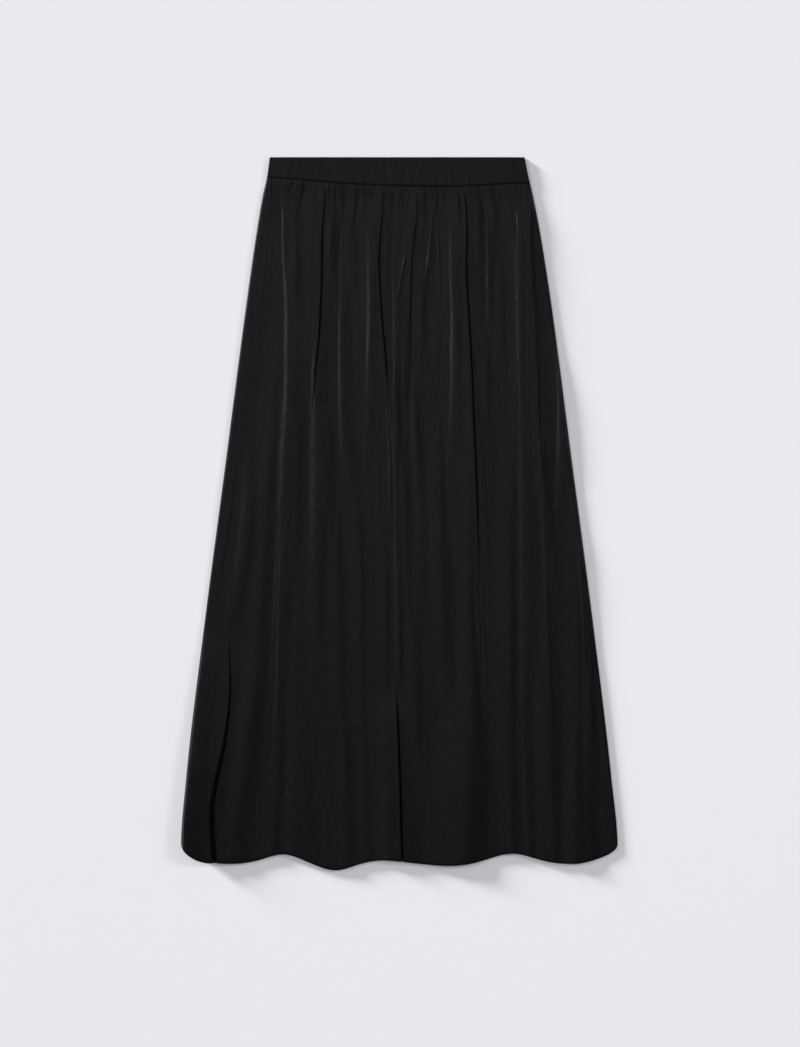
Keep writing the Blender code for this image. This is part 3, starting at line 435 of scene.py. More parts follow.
# Back panel tucks: across at the seam, height, half width, length
BACK_TUCKS = (
    (-150.0, 0.8, 2.6, 90),
    (-133.0, 1.0, 2.6, 140),
    (-118.0, 0.8, 2.6, 80),
    (-101.0, 1.0, 3.0, 420),
    (-86.0, 0.9, 2.6, 90),
    (-70.0, 1.0, 2.8, 180),
    (-55.0, 0.8, 2.6, 80),
    (-38.0, 1.0, 3.0, 300),
    (-22.0, 0.9, 2.6, 110),
    (-6.0, 1.0, 2.6, 90),
    (10.0, 0.8, 2.8, 160),
    (27.0, 1.0, 3.0, 480),
    (43.0, 0.9, 2.6, 80),
    (60.0, 1.0, 2.6, 120),
    (77.0, 0.8, 2.6, 90),
    (93.0, 1.0, 3.0, 260),
    (110.0, 0.9, 2.6, 100),
    (127.0, 1.0, 2.8, 350),
    (144.0, 0.8, 2.6, 80),
)
BACK_TUCK_HEIGHT = 1.0
TUCK_WIDENING = 90.0
BACK_BAND_BLEND = 14.0
BACK_COLUMNS = 210
BACK_ROW_STRETCHES = ((0.0, 0.12, 26), (0.12, 0.4, 22), (0.4, 1.0, 30))

# Gathered back waistband: ripples, their height, and how unevenly they are spaced
BACK_RIPPLES = 24
BACK_RIPPLE = 0.6
BACK_RIPPLE_SWAY = 0.8
BACK_RIPPLE_SWAYS = 0.37

# Front waistband creases: across, depth, half width
BAND_CREASE_LEAN = 0.05
BAND_CREASES = (
    (-17.4, 0.28, 2.2),
    (87.2, 0.07, 2.4),
    (-96.0, 0.05, 5.0),
    (31.0, 0.05, 6.0),
)
BAND_WRINKLED_BY = 40.0
BAND_MIDDLE = 15.0
BAND_COLUMNS = 240
BAND_LEAF_ROWS = 14
BAND_TURN_ROWS = 6

# Crepes: name, base colour, roughness, specular, sheen, grain
PANEL_CREPE = ("panel_crepe", (0.0021, 0.0021, 0.0027), 0.42, 0.130, 0.02, 0.35)
BAND_CREPE = ("band_crepe", (0.0027, 0.0027, 0.0032), 0.50, 0.118, 0.03, 0.25)
GLOSS_TINT = (0.925, 0.915, 1.0, 1.0)
SHEEN_TINT = (0.9, 0.92, 1.0, 1.0)
SHEEN_ROUGHNESS = 0.45
TONES = (0.82, 1.22)
ROUGHNESS_CHANGE = 0.05

# Noises of the crepe: scale, detail, stretch
PLAIN = (1.0, 1.0, 1.0)
TONE_NOISE = (34.0, 4.0, (1.0, 0.35, 1.0))
ROUGHNESS_NOISE = (90.0, 3.0, PLAIN)
GRAIN_NOISE = (620.0, 3.0, PLAIN)
FLECK_NOISE = (190.0, 4.0, (1.0, 0.45, 1.0))

# Weave, and the relief of weave and flecks as strength, depth
THREAD = 0.35
THREADS_TO_SCALE = 0.3142
THREAD_DISTORTION = 1.6
THREAD_DETAIL_SCALE = 3.0
WEAVE_RELIEF = (0.25, 0.08)
GRAIN_DEPTH = 0.12
FLECK_RELIEF = (0.8, 0.7)

# Camera and lights
PHOTO_SIZE = (800, 1047)
SCALE_MM_PER_PIXEL = 1.341
PHOTO_TOP_PIXEL = 157.6
PHOTO_MIDDLE_PIXEL = 399.3
CAMERA_HEIGHT = 3.0
SENSOR = 36.0
FLOOR_SIZE = 12.0
FLOOR_COLOUR = (0.841, 0.833, 0.873, 1.0)
FLOOR_ROUGHNESS = 0.9
SURROUND = 0.225
SOFTBOX_PLACE = (-0.1, 1.0, 6.4)
SOFTBOX_SIZE = (2.2, 2.4)
SOFTBOX_POWER = 58.0

# Parallel lights: name, heading over the surface, elevation, strength, softness in degrees
PARALLEL_LIGHTS = (
    ("key", (0.84, -0.54), 7.0, 9.8, 8.0),
    ("left_fill", (0.93, -0.36), 38.0, 0.6, 20.0),
    ("right_fill", (-0.93, -0.36), 24.0, 1.0, 16.0),
)


# Reading the tables

def ease(value):
    """Smooth step from 0 to 1."""
    value = np.clip(value, 0.0, 1.0)
    return value * value * (3.0 - 2.0 * value)


class Curve:
    """Smooth curve through the rows of a table, with no overshoot."""

    def __init__(self, rows, column=1):
        self.at = np.array([row[0] for row in rows], dtype=float)
        self.value = np.array([row[column] for row in rows], dtype=float)
        steps = np.diff(self.at)
        rises = np.diff(self.value) / steps
        self.slope = np.zeros(len(rows))
        self.slope[0] = rises[0]
        self.slope[-1] = rises[-1]
        for i in range(1, len(rows) - 1):
            if rises[i - 1] * rises[i] > 0.0:
                wide = 2.0 * steps[i] + steps[i - 1]
                near = steps[i] + 2.0 * steps[i - 1]
                self.slope[i] = (wide + near) / (wide / rises[i - 1] + near / rises[i])

    def __call__(self, where):
        where = np.clip(np.asarray(where, dtype=float), self.at[0], self.at[-1])
        i = np.clip(np.searchsorted(self.at, where) - 1, 0, len(self.at) - 2)
        step = self.at[i + 1] - self.at[i]
        t = (where - self.at[i]) / step
        flat = 2.0 * t ** 3 - 3.0 * t ** 2 + 1.0
        near = flat * self.value[i] + (t ** 3 - 2.0 * t ** 2 + t) * step * self.slope[i]
        far = (1.0 - flat) * self.value[i + 1] + (t ** 3 - t ** 2) * step * self.slope[i + 1]
        return near + far


LEFT = Curve(SIDES, 1)
RIGHT = Curve(SIDES, 2)
SEAM_LINE = Curve(SEAM)
TRACK_LINES = {name: Curve(rows) for name, rows in TRACKS.items()}
CREASE_LINES = {row[0]: Curve(row[2], 1) for row in CREASES}
CREASE_HEIGHTS = {row[0]: Curve(row[2], 2) for row in CREASES}
LAP_SIZES = {row[0]: (row[1], row[2], Curve(row[3])) for row in LAPS}
SWELL_LINES = [[Curve(rows, column) for column in (1, 2, 3, 4)] for rows in SWELLS]
HALF_HEM = -SIDES[-1][1]
LAP_COLUMNS = 2 * TURN_STEPS + FLAT_STEPS + 1


def bump(distance, half_width):
    return np.exp(-(distance / half_width) ** 2)


def hem_down(across):
    """Hem line with its waves and rounded corners."""
    total = np.full(np.shape(across), HEM_LEVEL)
    for centre, lower, half_width in HEM_OUTLINE_WAVES:
        total = total + lower * bump(across - centre, half_width)
    for inward, (width, height, power) in ((across, LEFT_CORNER), (-across, RIGHT_CORNER)):
        near_side = np.clip((HALF_HEM + inward) / width, 0.0, 1.0)
        curve = (1.0 - (1.0 - near_side) ** power) ** (1.0 / power)
        total = total - height * (1.0 - curve)
    return total


def station_down(across, part, above, shorter):
    top = SEAM_LINE(across) - above
    return top + part * (hem_down(across) - shorter - top)


def settle(line, part, above, shorter):
    """Across and down where a line crosses each row."""
    down = np.full(np.shape(part), HALF_WAY_DOWN)
    across = line(down)
    for _ in range(SETTLE_STEPS):
        across = line(down)
        down = station_down(across, part, above, shorter)
    return across, down


def side_distance(across, down):
    return np.minimum(across - LEFT(down), RIGHT(down) - across)


def stretch_rows(stretches):
    """Row positions from stretches of even rows."""
    parts = [np.linspace(low, high, count, endpoint=False) for low, high, count in stretches]
    return np.append(np.concatenate(parts), stretches[-1][1])


def wrinkles(across, down, seed, height, across_size, down_size):
    """Sum of long irregular waves that run with the cloth."""
    random = np.random.RandomState(seed)
    total = np.zeros(np.shape(across))
    for _ in range(WAVE_COUNT):
        size = across_size * random.uniform(*WAVE_SIZES)
        sway = down_size * random.uniform(*WAVE_SWAYS)
        lean = random.uniform(*WAVE_LEANS)
        turn = random.uniform(0.0, 2.0 * math.pi, 3)
        phase = 2.0 * math.pi * across / size + turn[0] + lean * down / size
        phase = phase + WAVE_BEND * np.sin(2.0 * math.pi * down / sway + turn[1])
        length = WAVE_FADE_LENGTH * sway
        total += np.sin(phase) * (0.5 + 0.5 * np.sin(2.0 * math.pi * down / length + turn[2]))
    return height * total / math.sqrt(WAVE_COUNT)


# Front panel

def round_edge(share):
    """Quarter round from 0 at the edge to 1."""
    return np.sqrt(1.0 - (1.0 - np.clip(share, 0.0, 1.0)) ** 2)


def front_level(across, down):
    """Cloth between the folds: rolled at its sides and raised at the band."""
    from_left = across - LEFT(down)
    from_right = RIGHT(down) - across
    left = LEFT_ROLL * round_edge(from_left / FRONT_ROLL_WIDTH)
    left += LEFT_RISE * ease(from_left / RISE_WIDTH)
    right = RIGHT_ROLL * round_edge(from_right / FRONT_ROLL_WIDTH)
    right += RIGHT_RISE * ease(from_right / RISE_WIDTH)
    widened = ease((down - STEP_WIDENS[0]) / (STEP_WIDENS[1] - STEP_WIDENS[0]))
    width = STEP_WIDTHS[0] + widened * (STEP_WIDTHS[1] - STEP_WIDTHS[0])
    step = ease((across - TRACK_LINES[STEP_TRACK](down)) / width)
    panel = FRONT_EDGE + left + step * (right - left)
    inside = ease(np.minimum(from_left, from_right) / RISE_WIDTH)
    band = BAND_FRONT_AT_SIDE + BAND_FRONT_RISE * inside
    below = down - SEAM_LINE(across)
    tucked = SEAM_BEND * (1.0 - ease((below + TUCKED_UNDER_BAND) / SEAM_BEND_WIDTH))
    at_panel = 1.0 - np.exp(-np.clip(below, 0.0, None) / BAND_BLEND)
    fall, climb = SEAM_DIP_WIDTHS
    panel = panel - SEAM_DIP * (ease(below / fall) - ease((below - fall) / climb)) * inside
    return band - tucked + at_panel * (panel - band)


def creases(across, down):
    """Thin creases and the unevenness of the cloth."""
    total = np.zeros(np.shape(across))
    widening = 1.0 + CREASE_WIDENING * ease((down - HALF_WAY_DOWN) / HALF_WAY_DOWN)
    for name, half_width, _ in CREASES:
        offset = across - CREASE_LINES[name](down)
        total += CREASE_HEIGHTS[name](down) * bump(offset, half_width * widening)
    spread = (RIGHT(down) - LEFT(down)) / (2.0 * HALF_HEM)
    total += CLOTH_LIFT
    for waves in CLOTH_WRINKLES:
        total += wrinkles(across / spread, down, *waves)
    # The panel's edge stays under the band
    below = down - SEAM_LINE(across)
    total *= ease((below + TUCKED_UNDER_BAND) / SEAM_WRINKLE_START)
    near_seam = np.exp(-np.clip(below, 0.0, None) / SEAM_WRINKLE_LENGTH)
    near_seam *= ease(below / SEAM_WRINKLE_START)
    total += near_seam * wrinkles(across, down, *SEAM_WRINKLES)
    return total * ease(side_distance(across, down) / EDGE_FADE)


def swells(across, down):
    """Ridges that rise on their left and fall on their right, each with its own widths."""
    total = np.zeros(np.shape(across))
    for crest, height, rise, fall in SWELL_LINES:
        offset = across - crest(down)
        up = ease(offset / rise(down) + 1.0)
        total += height(down) * up * (1.0 - ease(offset / fall(down)))
    return total * ease(side_distance(across, down) / EDGE_FADE)


def lap_points(strength, overlap, shoulder):
    """Across and height of a fold that turns back under itself and of the ditch beside it.

    The fold starts at 0, turns down and back, and comes out under its own edge. The lower
    cloth then climbs out of a narrow ditch to its shoulder. One row for each strength.
    """
    upper = math.pi * UPPER_TURN / TURN_STEPS
    lower = math.pi * LOWER_TURN / TURN_STEPS
    flat = (overlap - UPPER_TURN - LOWER_TURN) / FLAT_STEPS
    lengths = [upper] * TURN_STEPS + [flat] * FLAT_STEPS + [lower] * TURN_STEPS
    opening = [(i + 0.5) / TURN_STEPS for i in range(TURN_STEPS)]
    shares = opening + [1.0] * FLAT_STEPS + opening[::-1]
    # Toward its ends a fold first grows small and then opens
    folded = ease(strength / LAP_OPENS_BELOW)
    size = LAP_SMALLEST + (1.0 - LAP_SMALLEST) * strength
    heading = -math.pi * folded[:, None] * np.array(shares)[None, :]
    steps = size[:, None] * np.array(lengths)[None, :]
    across = np.cumsum(steps * np.cos(heading), axis=1)
    height = np.cumsum(steps * np.sin(heading), axis=1)
    start = np.zeros((len(strength), 1))
    across = np.hstack((start, across))
    height = np.hstack((start, height))
    depth = np.maximum(-height[:, -1:], LEAST_DEPTH)
    top = LAP_TOP * strength[:, None]
    bottom = -DITCH * strength[:, None]
    height = top + height * (top - bottom) / depth

    share = np.linspace(0.0, 1.0, DITCH_STEPS + 1)[None, :]
    edge = np.maximum(across.max(axis=1), across[:, -1])[:, None]
    ditch_across = edge + size[:, None] * (DITCH_START + DITCH_WIDTH * share)
    climb = 1.0 - (1.0 - share) ** DITCH_SHAPE
    ditch_height = bottom + (shoulder + DITCH) * strength[:, None] * climb
    return np.hstack((across, ditch_across)), np.hstack((height, ditch_height))


def groove_points(down):
    """Across and height along an open groove with crisp lips and steep sides."""
    side = np.array(GROOVE_SIDE)
    across = np.append(side[:, 0], 2.0 * side[-1, 0] + GROOVE_FLOOR - side[::-1, 0])
    height = -np.append(side[:, 1], side[::-1, 1])
    height -= GROOVE_RIGHT_LOWER * ease(across / across[-1])
    size = ease((down - GROOVE_START) / (GROOVE_FULL - GROOVE_START))[:, None]
    size = GROOVE_SMALLEST + (1.0 - GROOVE_SMALLEST) * size
    opened = ease((down - GROOVE_START) / GROOVE_OPENS)[:, None]
    return size * across[None, :], size * opened * height[None, :]


def gap_columns(low, high, down, count):
    """Columns of a gap for each row, closer together on the raised folds."""
    share = np.linspace(0.0, 1.0, GAP_SAMPLES)
    wanted = (np.arange(count) + 1.0) / (count + 1.0)
    where = low[:, None] + share[None, :] * (high - low)[:, None]
    density = np.ones(where.shape)
    for name, half_width, _ in CREASES:
        line = CREASE_LINES[name](down)[:, None]
        density += COLUMNS_ON_CREASE * bump(where - line, CREASE_REACH * half_width)
    for crest, height, rise, _ in SWELL_LINES:
        width = rise(down)[:, None]
        steep = height(down)[:, None] / width
        middle = crest(down)[:, None] - 0.5 * width
        density += COLUMNS_ON_SWELL * abs(steep) * bump(where - middle, SWELL_REACH * width)
    density += COLUMNS_AT_SIDE * bump(side_distance(where, down[:, None]), SIDE_REACH)
    total = np.cumsum(density, axis=1)
    total = (total - total[:, :1]) / (total[:, -1:] - total[:, :1])
    return np.array([np.interp(wanted, total[i], where[i]) for i in range(len(low))])


def front_grid():
    """Across, down and height of the middle of the front panel's cloth."""
    part = stretch_rows(ROW_STRETCHES)
    left, _ = settle(LEFT, part, TUCKED_UNDER_BAND, 0.0)
    right, _ = settle(RIGHT, part, TUCKED_UNDER_BAND, 0.0)
    folds = []
    for name, line in TRACK_LINES.items():
        across, down = settle(line, part, TUCKED_UNDER_BAND, 0.0)
        if name == GROOVE_TRACK:
            steps, heights = groove_points(down)
            start = across - 0.5 * steps[:, -1]
            above = GROOVE_ABOVE * heights.min(axis=1) / heights.min()
            folds.append(("groove", start, steps, heights, above, 0.0))
            continue
        if name not in LAP_SIZES:
            none = np.zeros((len(part), 1))
            folds.append((None, across, none, none, np.zeros(len(part)), 0.0))
            continue
        overlap, shoulder, sizes = LAP_SIZES[name]
        strength = np.clip(sizes(down), 0.0, None)
        steps, heights = lap_points(strength, overlap, shoulder)
        edge = steps[:, :LAP_COLUMNS].max(axis=1)
        folds.append(("lap", across - edge, steps, heights, strength, shoulder))

    starts = [fold[1] for fold in folds] + [right]
    ends = [left] + [fold[1] + fold[2][:, -1] for fold in folds]

    all_down = settle(TRACK_LINES[MIDDLE_TRACK], part, TUCKED_UNDER_BAND, 0.0)[1]
    columns = [left[:, None]]
    extra = [np.zeros((len(part), 1))]
    is_fold = [False]
    for index, count in enumerate(GAP_COLUMNS):
        gap = gap_columns(ends[index], starts[index], all_down, count)
        columns.append(gap)
        extra.append(np.zeros(gap.shape))
        is_fold += [False] * count
        if index < len(folds):
            kind, start, steps, heights, strength, _ = folds[index]
            columns.append(start[:, None] + steps)
            extra.append(strength[:, None] + heights if kind == "groove" else heights)
            is_fold += [True] * steps.shape[1]
    columns.append(right[:, None])
    extra.append(np.zeros((len(part), 1)))
    is_fold.append(False)
    across = np.hstack(columns)
    extra = np.hstack(extra)
    is_fold = np.array(is_fold)
    down = station_down(across, part[:, None], TUCKED_UNDER_BAND, 0.0)

    height = front_level(across, down) + creases(across, down) + swells(across, down)
    lifted = lift_beside_folds(across, down, folds, ends)
    height += np.where(is_fold[None, :], extra, lifted)
    height -= np.where(is_fold[None, :], 0.0, gather_troughs(across, down, starts, ends))
    return across, down, height


def lift_beside_folds(across, down, folds, ends):
    """Cloth that climbs to the edge of each fold and falls from its shoulder."""
    total = np.zeros(across.shape)
    for index, (kind, start, _, _, strength, shoulder) in enumerate(folds):
        if kind is None:
            continue
        strength = strength[:, None]
        to_left = start[:, None] - across
        to_right = across - ends[index + 1][:, None]
        if kind == "lap":
            share = np.minimum(strength, 1.0)
            width = LAP_SLOPE_LEAST + (LAP_SLOPE_WIDTH - LAP_SLOPE_LEAST) * share
            climb = LAP_TOP * strength * (1.0 - ease(to_left / width))
            fall = shoulder * strength * (1.0 - ease(to_right / SHOULDER_FADE))
            total += np.where(to_left >= 0.0, climb, 0.0) + np.where(to_right >= 0.0, fall, 0.0)
            continue
        # Level from the rolled side of the skirt to the groove, then two falls and a shelf
        near = round_edge(side_distance(across, down) / GROOVE_EDGE_ROLL)
        by, width = GROOVE_LIP_FALL
        slope = 1.0 - by * ease(to_right / width)
        slope -= (1.0 - by) * ease((to_right - GROOVE_SHELF) / GROOVE_SLOPE_WIDTH)
        total += np.where(to_left >= 0.0, strength * near, 0.0)
        right = strength * (1.0 - GROOVE_RIGHT_LOWER / GROOVE_ABOVE)
        total += np.where(to_right >= 0.0, right * slope, 0.0)
    return total


def gather_troughs(across, down, starts, ends):
    """Narrow hollows between the gathers, each in its own place and length."""
    total = np.zeros(across.shape)
    tracks = [line(0.0) for line in TRACK_LINES.values()]
    stations = [LEFT(SEAM_AT_LEFT)] + tracks + [RIGHT(SEAM_AT_RIGHT)]
    below = down - SEAM_LINE(across)
    rise = TROUGH_AT_SEAM + (1.0 - TROUGH_AT_SEAM) * ease(below / TROUGH_RISE)
    for at_seam, depth, half_width, length, lean in GATHERS:
        index = int(np.searchsorted(stations, at_seam)) - 1
        share = (at_seam - stations[index]) / (stations[index + 1] - stations[index])
        centre = (ends[index] + share * (starts[index] - ends[index]))[:, None] + lean * below
        wide = half_width * (1.0 + np.clip(below, 0.0, None) / GATHER_WIDENING)
        offset = (across - centre) / wide
        fade = 1.0 - ease(below / length)
        trough = ease(0.5 + 0.5 * offset) * (1.0 - ease((offset - 1.0) / GATHER_CLIMB))
        total += GATHER_DEPTH * depth * rise * fade * trough
    return total


# Back panel

def back_grid():
    """Across, down and height of the middle of the back panel's cloth."""
    part = stretch_rows(BACK_ROW_STRETCHES)
    left, _ = settle(LEFT, part, TUCKED_UNDER_BAND, BACK_HEM_SHORTER)
    right, _ = settle(RIGHT, part, TUCKED_UNDER_BAND, BACK_HEM_SHORTER)
    share = np.linspace(0.0, 1.0, BACK_COLUMNS + 1)[None, :]
    across = left[:, None] + share * (right - left)[:, None]
    down = station_down(across, part[:, None], TUCKED_UNDER_BAND, BACK_HEM_SHORTER)
    below = down - SEAM_LINE(across)
    inside = ease(side_distance(across, down) / RISE_WIDTH)
    spread = (RIGHT(down) - LEFT(down)) / (RIGHT(SEAM_AT_RIGHT) - LEFT(SEAM_AT_LEFT))
    tucks = np.zeros(across.shape)
    for at_seam, height, half_width, length in BACK_TUCKS:
        wide = half_width * (1.0 + np.clip(below, 0.0, None) / TUCK_WIDENING)
        fade = 1.0 - ease(below / length)
        tucks += height * fade * bump(across - at_seam * spread, wide)
    tucks = np.minimum(tucks, 1.0) * inside
    height = BACK_LEVEL + BACK_TUCK_HEIGHT * tucks
    height += (1.0 - ease(below / BACK_BAND_BLEND)) * (BAND_BACK - BACK_LEVEL) * (1.0 - tucks)
    return across, down, height


# Waistbands

def band_grid(level):
    """Folded strip: outer leaf up to the top fold, then the inner leaf down again."""
    shares = np.linspace(0.0, 1.0, BAND_COLUMNS + 1)
    leaf = np.linspace(1.0, 0.0, BAND_LEAF_ROWS + 1)
    turn = np.linspace(0.0, math.pi, BAND_TURN_ROWS + 1)[1:-1]
    part = np.concatenate((leaf, np.zeros(len(turn)), leaf[::-1]))
    side = np.concatenate((np.ones(len(leaf)), np.cos(turn), -np.ones(len(leaf))))
    over = np.concatenate((np.zeros(len(leaf)), np.sin(turn), np.zeros(len(leaf))))
    across = np.zeros((len(part), len(shares)))
    down = np.full(across.shape, BAND_MIDDLE)
    for _ in range(SETTLE_STEPS):
        across = LEFT(down) + shares[None, :] * (RIGHT(down) - LEFT(down))
        lowest = SEAM_LINE(across)
        first = BAND_LEAF + 0.5 * BAND_CLOTH
        down = first + part[:, None] * (lowest - first) - BAND_LEAF * over[:, None]
    outer = side[:, None] > 0.0
    height = level(across, down, outer) + BAND_LEAF * side[:, None]
    # The lower edge of each leaf bends in toward the panel that it holds
    near_seam = ease((down - SEAM_LINE(across) + SEAM_BEND_WIDTH) / SEAM_BEND_WIDTH)
    height -= SEAM_BEND * near_seam * side[:, None]
    return across, down, height


def front_band_level(across, down, outer):
    inside = ease(side_distance(across, down) / RISE_WIDTH)
    level = BAND_FRONT_AT_SIDE + BAND_FRONT_RISE * inside
    for centre, depth, half_width in BAND_CREASES:
        offset = across - centre - BAND_CREASE_LEAN * down
        level = level - depth * bump(offset, half_width) * outer
    low = ease(down / BAND_WRINKLED_BY)
    level = level + low * wrinkles(across, down, *BAND_LOW_WRINKLES) * inside
    return level + wrinkles(across, down, *BAND_WRINKLES) * inside


def back_band_level(across, down, outer):
    inside = ease(side_distance(across, down) / RISE_WIDTH)
    turn = 2.0 * math.pi * BACK_RIPPLES * (across - LEFT(down)) / (RIGHT(down) - LEFT(down))
    turn = turn + BACK_RIPPLE_SWAY * np.sin(BACK_RIPPLE_SWAYS * turn)
    ripple = 0.5 * (1.0 - np.cos(turn))
    return BAND_BACK + BACK_RIPPLE * inside * ripple


# Meshes

def to_frame(across, down, height):
    """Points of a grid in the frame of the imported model, in metres."""
    points = np.stack((across, -down, height), axis=-1) * MM
    points[..., 1] += TOP_Y
    return points


def grid_normals(points):
    along_rows = np.gradient(points, axis=1)
    along_columns = np.gradient(points, axis=0)
    normals = np.cross(along_columns, along_rows)
    return normals / np.linalg.norm(normals, axis=2, keepdims=True)


def cloth_shell(name, grid, thickness):
    """Closed thin shell around the middle surface of a grid, with round edges."""
    points = to_frame(*grid)
    normals = grid_normals(points)
    rows, columns = points.shape[:2]
    half = 0.5 * thickness * MM
    upper = (points + half * normals).reshape(-1, 3)
    lower = (points - half * normals).reshape(-1, 3)
    index = np.arange(rows * columns).reshape(rows, columns)
    a = index[:-1, :-1].ravel()
    b = index[1:, :-1].ravel()
    c = index[1:, 1:].ravel()
    d = index[:-1, 1:].ravel()
    count = rows * columns
    faces = np.vstack((np.stack((a, b, c, d), 1), np.stack((a, d, c, b), 1) + count))

    edge = np.concatenate((index[0, :-1], index[:-1, -1], index[-1, :0:-1], index[:0:-1, 0]))
    inner = np.concatenate((index[1, :-1], index[:-1, -2], index[-2, :0:-1], index[:0:-1, 1]))
    flat = points.reshape(-1, 3)
    outward = flat[edge] - flat[inner]
    outward /= np.maximum(np.linalg.norm(outward, axis=1, keepdims=True), LEAST_LENGTH)
    rim = flat[edge] + half * outward
    rim_index = 2 * count + np.arange(len(edge))
    after = np.roll(np.arange(len(edge)), -1)
    top_side = np.stack((edge, edge[after], rim_index[after], rim_index), 1)
    low_side = np.stack((rim_index, rim_index[after], edge[after] + count, edge + count), 1)
    faces = np.vstack((faces, top_side, low_side))
    vertices = np.vstack((upper, lower, rim))

    mesh = bpy.data.meshes.new(name)
    mesh.from_pydata(vertices.tolist(), [], faces.tolist())
    mesh.polygons.foreach_set("use_smooth", [True] * len(mesh.polygons))
    mesh.update()
    piece = bpy.data.objects.new(name, mesh)
    bpy.context.scene.collection.objects.link(piece)
    return piece


# Materials

class Nodes:
    """Small helper that adds and links shader nodes."""

    def __init__(self, name):
        self.material = bpy.data.materials.new(name)
        self.material.use_nodes = True
        self.tree = self.material.node_tree
        self.shader = self.tree.nodes["Principled BSDF"]

    def add(self, kind, **settings):
        node = self.tree.nodes.new(kind)
        for key, value in settings.items():
            setattr(node, key, value)
        return node

    def link(self, source, target):
        self.tree.links.new(source, target)


def crepe_cloth(name, base, roughness, specular, sheen, grain):
    """Black satin crepe: fine uneven weave, soft gloss and slight tone changes."""
    nodes = Nodes(name)
    shader = nodes.shader
    where = nodes.add("ShaderNodeTexCoord").outputs["Object"]

    def noise(scale, detail, stretch):
        mapping = nodes.add("ShaderNodeMapping")
        mapping.inputs["Scale"].default_value = stretch
        nodes.link(where, mapping.inputs["Vector"])
        texture = nodes.add("ShaderNodeTexNoise")
        texture.inputs["Scale"].default_value = scale
        texture.inputs["Detail"].default_value = detail
        nodes.link(mapping.outputs["Vector"], texture.inputs["Vector"])
        return texture.outputs["Fac"]

    def spread(value, low, high):
        ranged = nodes.add("ShaderNodeMapRange")
        ranged.inputs["To Min"].default_value = low
        ranged.inputs["To Max"].default_value = high
        nodes.link(value, ranged.inputs["Value"])
        return ranged.outputs["Result"]

    def threads(direction):
        wave = nodes.add("ShaderNodeTexWave", bands_direction=direction)
        wave.inputs["Scale"].default_value = THREADS_TO_SCALE / (THREAD * MM)
        wave.inputs["Distortion"].default_value = THREAD_DISTORTION
        wave.inputs["Detail"].default_value = 1.0
        wave.inputs["Detail Scale"].default_value = THREAD_DETAIL_SCALE
        nodes.link(where, wave.inputs["Vector"])
        return wave.outputs["Fac"]

    def multiply(a, b):
        node = nodes.add("ShaderNodeMath", operation="MULTIPLY")
        nodes.link(a, node.inputs[0])
        nodes.link(b, node.inputs[1])
        return node.outputs["Value"]

    def relief(height, strength, depth, under=None):
        node = nodes.add("ShaderNodeBump")
        node.inputs["Strength"].default_value = strength
        node.inputs["Distance"].default_value = depth * MM
        nodes.link(height, node.inputs["Height"])
        if under:
            nodes.link(under, node.inputs["Normal"])
        return node.outputs["Normal"]

    tone = nodes.add("ShaderNodeMixRGB")
    for socket, share in zip(("Color1", "Color2"), TONES):
        tone.inputs[socket].default_value = tuple(share * c for c in base) + (1.0,)
    nodes.link(noise(*TONE_NOISE), tone.inputs["Fac"])
    nodes.link(tone.outputs["Color"], shader.inputs["Base Color"])
    rough = spread(noise(*ROUGHNESS_NOISE), roughness - ROUGHNESS_CHANGE,
                   roughness + ROUGHNESS_CHANGE)
    nodes.link(rough, shader.inputs["Roughness"])
    shader.inputs["Specular IOR Level"].default_value = specular
    shader.inputs["Specular Tint"].default_value = GLOSS_TINT
    shader.inputs["Sheen Weight"].default_value = sheen
    shader.inputs["Sheen Roughness"].default_value = SHEEN_ROUGHNESS
    shader.inputs["Sheen Tint"].default_value = SHEEN_TINT
    weave = relief(multiply(threads("X"), threads("Y")), *WEAVE_RELIEF)
    grained = relief(noise(*GRAIN_NOISE), grain, GRAIN_DEPTH, weave)
    flecked = relief(noise(*FLECK_NOISE), *FLECK_RELIEF, grained)
    nodes.link(flecked, shader.inputs["Normal"])
    return nodes.material


# Pieces

def add_piece(name, grid, thickness, material, node):
    piece = cloth_shell(name, grid, thickness)
    piece.data.materials.append(material)
    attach(piece, "root")
    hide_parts(node)
    return piece


def build_skirt():
    panel_cloth = crepe_cloth(*PANEL_CREPE)
    band_cloth = crepe_cloth(*BAND_CREPE)
    front = add_piece("front_panel_cloth", front_grid(), CLOTH, panel_cloth, "front_panel")
    back = add_piece("back_panel_cloth", back_grid(), CLOTH, panel_cloth, "back_panel")
    band = add_piece("waistband_front_cloth", band_grid(front_band_level), BAND_CLOTH,
                     band_cloth, "waistband_front")
    band_back = add_piece("waistband_back_cloth", band_grid(back_band_level), BAND_CLOTH,
                          band_cloth, "waistband_back")


# Camera, floor and light

def add_camera():
    """Camera straight above, framed as the photograph is."""
    centre_x = (0.5 * PHOTO_SIZE[0] - PHOTO_MIDDLE_PIXEL) * SCALE_MM_PER_PIXEL * MM
    centre_down = (0.5 * PHOTO_SIZE[1] - PHOTO_TOP_PIXEL) * SCALE_MM_PER_PIXEL * MM
    data = bpy.data.cameras.new("camera")
    data.sensor_width = SENSOR
    data.lens = SENSOR * CAMERA_HEIGHT / (PHOTO_SIZE[1] * SCALE_MM_PER_PIXEL * MM)
    camera = bpy.data.objects.new("camera", data)
    camera.location = (centre_x, TOP_Y - centre_down, CAMERA_HEIGHT)
    bpy.context.scene.collection.objects.link(camera)
    bpy.context.scene.camera = camera


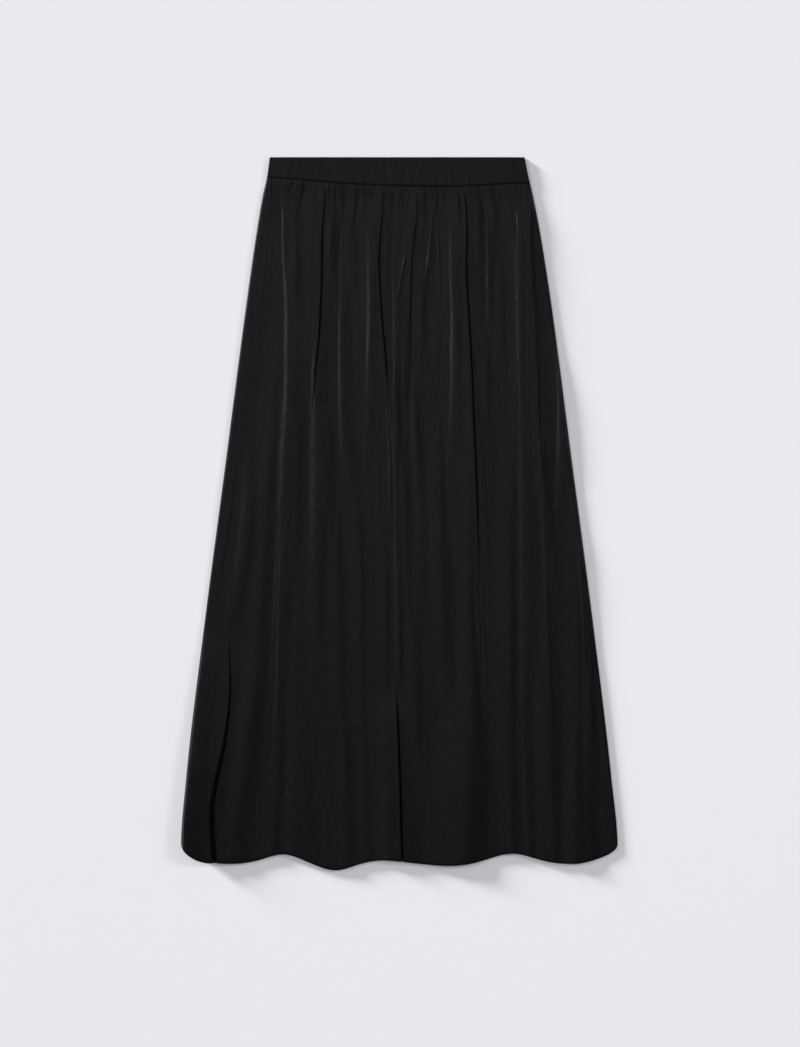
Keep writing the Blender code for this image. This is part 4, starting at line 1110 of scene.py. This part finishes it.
def add_floor():
    half = 0.5 * FLOOR_SIZE
    mesh = bpy.data.meshes.new("floor")
    corners = [(-half, -half, 0.0), (half, -half, 0.0), (half, half, 0.0), (-half, half, 0.0)]
    mesh.from_pydata(corners, [], [(0, 1, 2, 3)])
    floor = bpy.data.objects.new("floor", mesh)
    bpy.context.scene.collection.objects.link(floor)
    nodes = Nodes("floor_paint")
    nodes.shader.inputs["Base Color"].default_value = FLOOR_COLOUR
    nodes.shader.inputs["Roughness"].default_value = FLOOR_ROUGHNESS
    nodes.shader.inputs["Specular IOR Level"].default_value = 0.0
    mesh.materials.append(nodes.material)


def add_sun(name, shines, elevation, strength, softness):
    """Parallel light; shines is its heading over the surface, elevation in degrees."""
    data = bpy.data.lights.new(name, "SUN")
    data.energy = strength
    data.angle = math.radians(softness)
    light = bpy.data.objects.new(name, data)
    level = Vector((shines[0], shines[1], 0.0)).normalized()
    fall = math.tan(math.radians(elevation))
    light.rotation_euler = Vector((level.x, level.y, -fall)).to_track_quat("-Z", "Y").to_euler()
    bpy.context.scene.collection.objects.link(light)


def add_softbox(name, place, size, power):
    """Rectangular light that looks straight down."""
    data = bpy.data.lights.new(name, "AREA")
    data.shape = "RECTANGLE"
    data.size = size[0]
    data.size_y = size[1]
    data.energy = power
    light = bpy.data.objects.new(name, data)
    light.location = place
    bpy.context.scene.collection.objects.link(light)


def add_light():
    """Low key light from the upper left, soft fills, a softbox overhead and a pale surround."""
    world = bpy.data.worlds.new("surround")
    world.use_nodes = True
    background = world.node_tree.nodes["Background"]
    background.inputs["Color"].default_value = (1.0, 1.0, 1.0, 1.0)
    background.inputs["Strength"].default_value = SURROUND
    bpy.context.scene.world = world
    for name, shines, elevation, strength, softness in PARALLEL_LIGHTS:
        add_sun(name, shines, elevation, strength, softness)
    add_softbox("softbox", SOFTBOX_PLACE, SOFTBOX_SIZE, SOFTBOX_POWER)
    bpy.context.scene.view_settings.view_transform = "Standard"


build_skirt()
add_camera()
add_floor()
add_light()
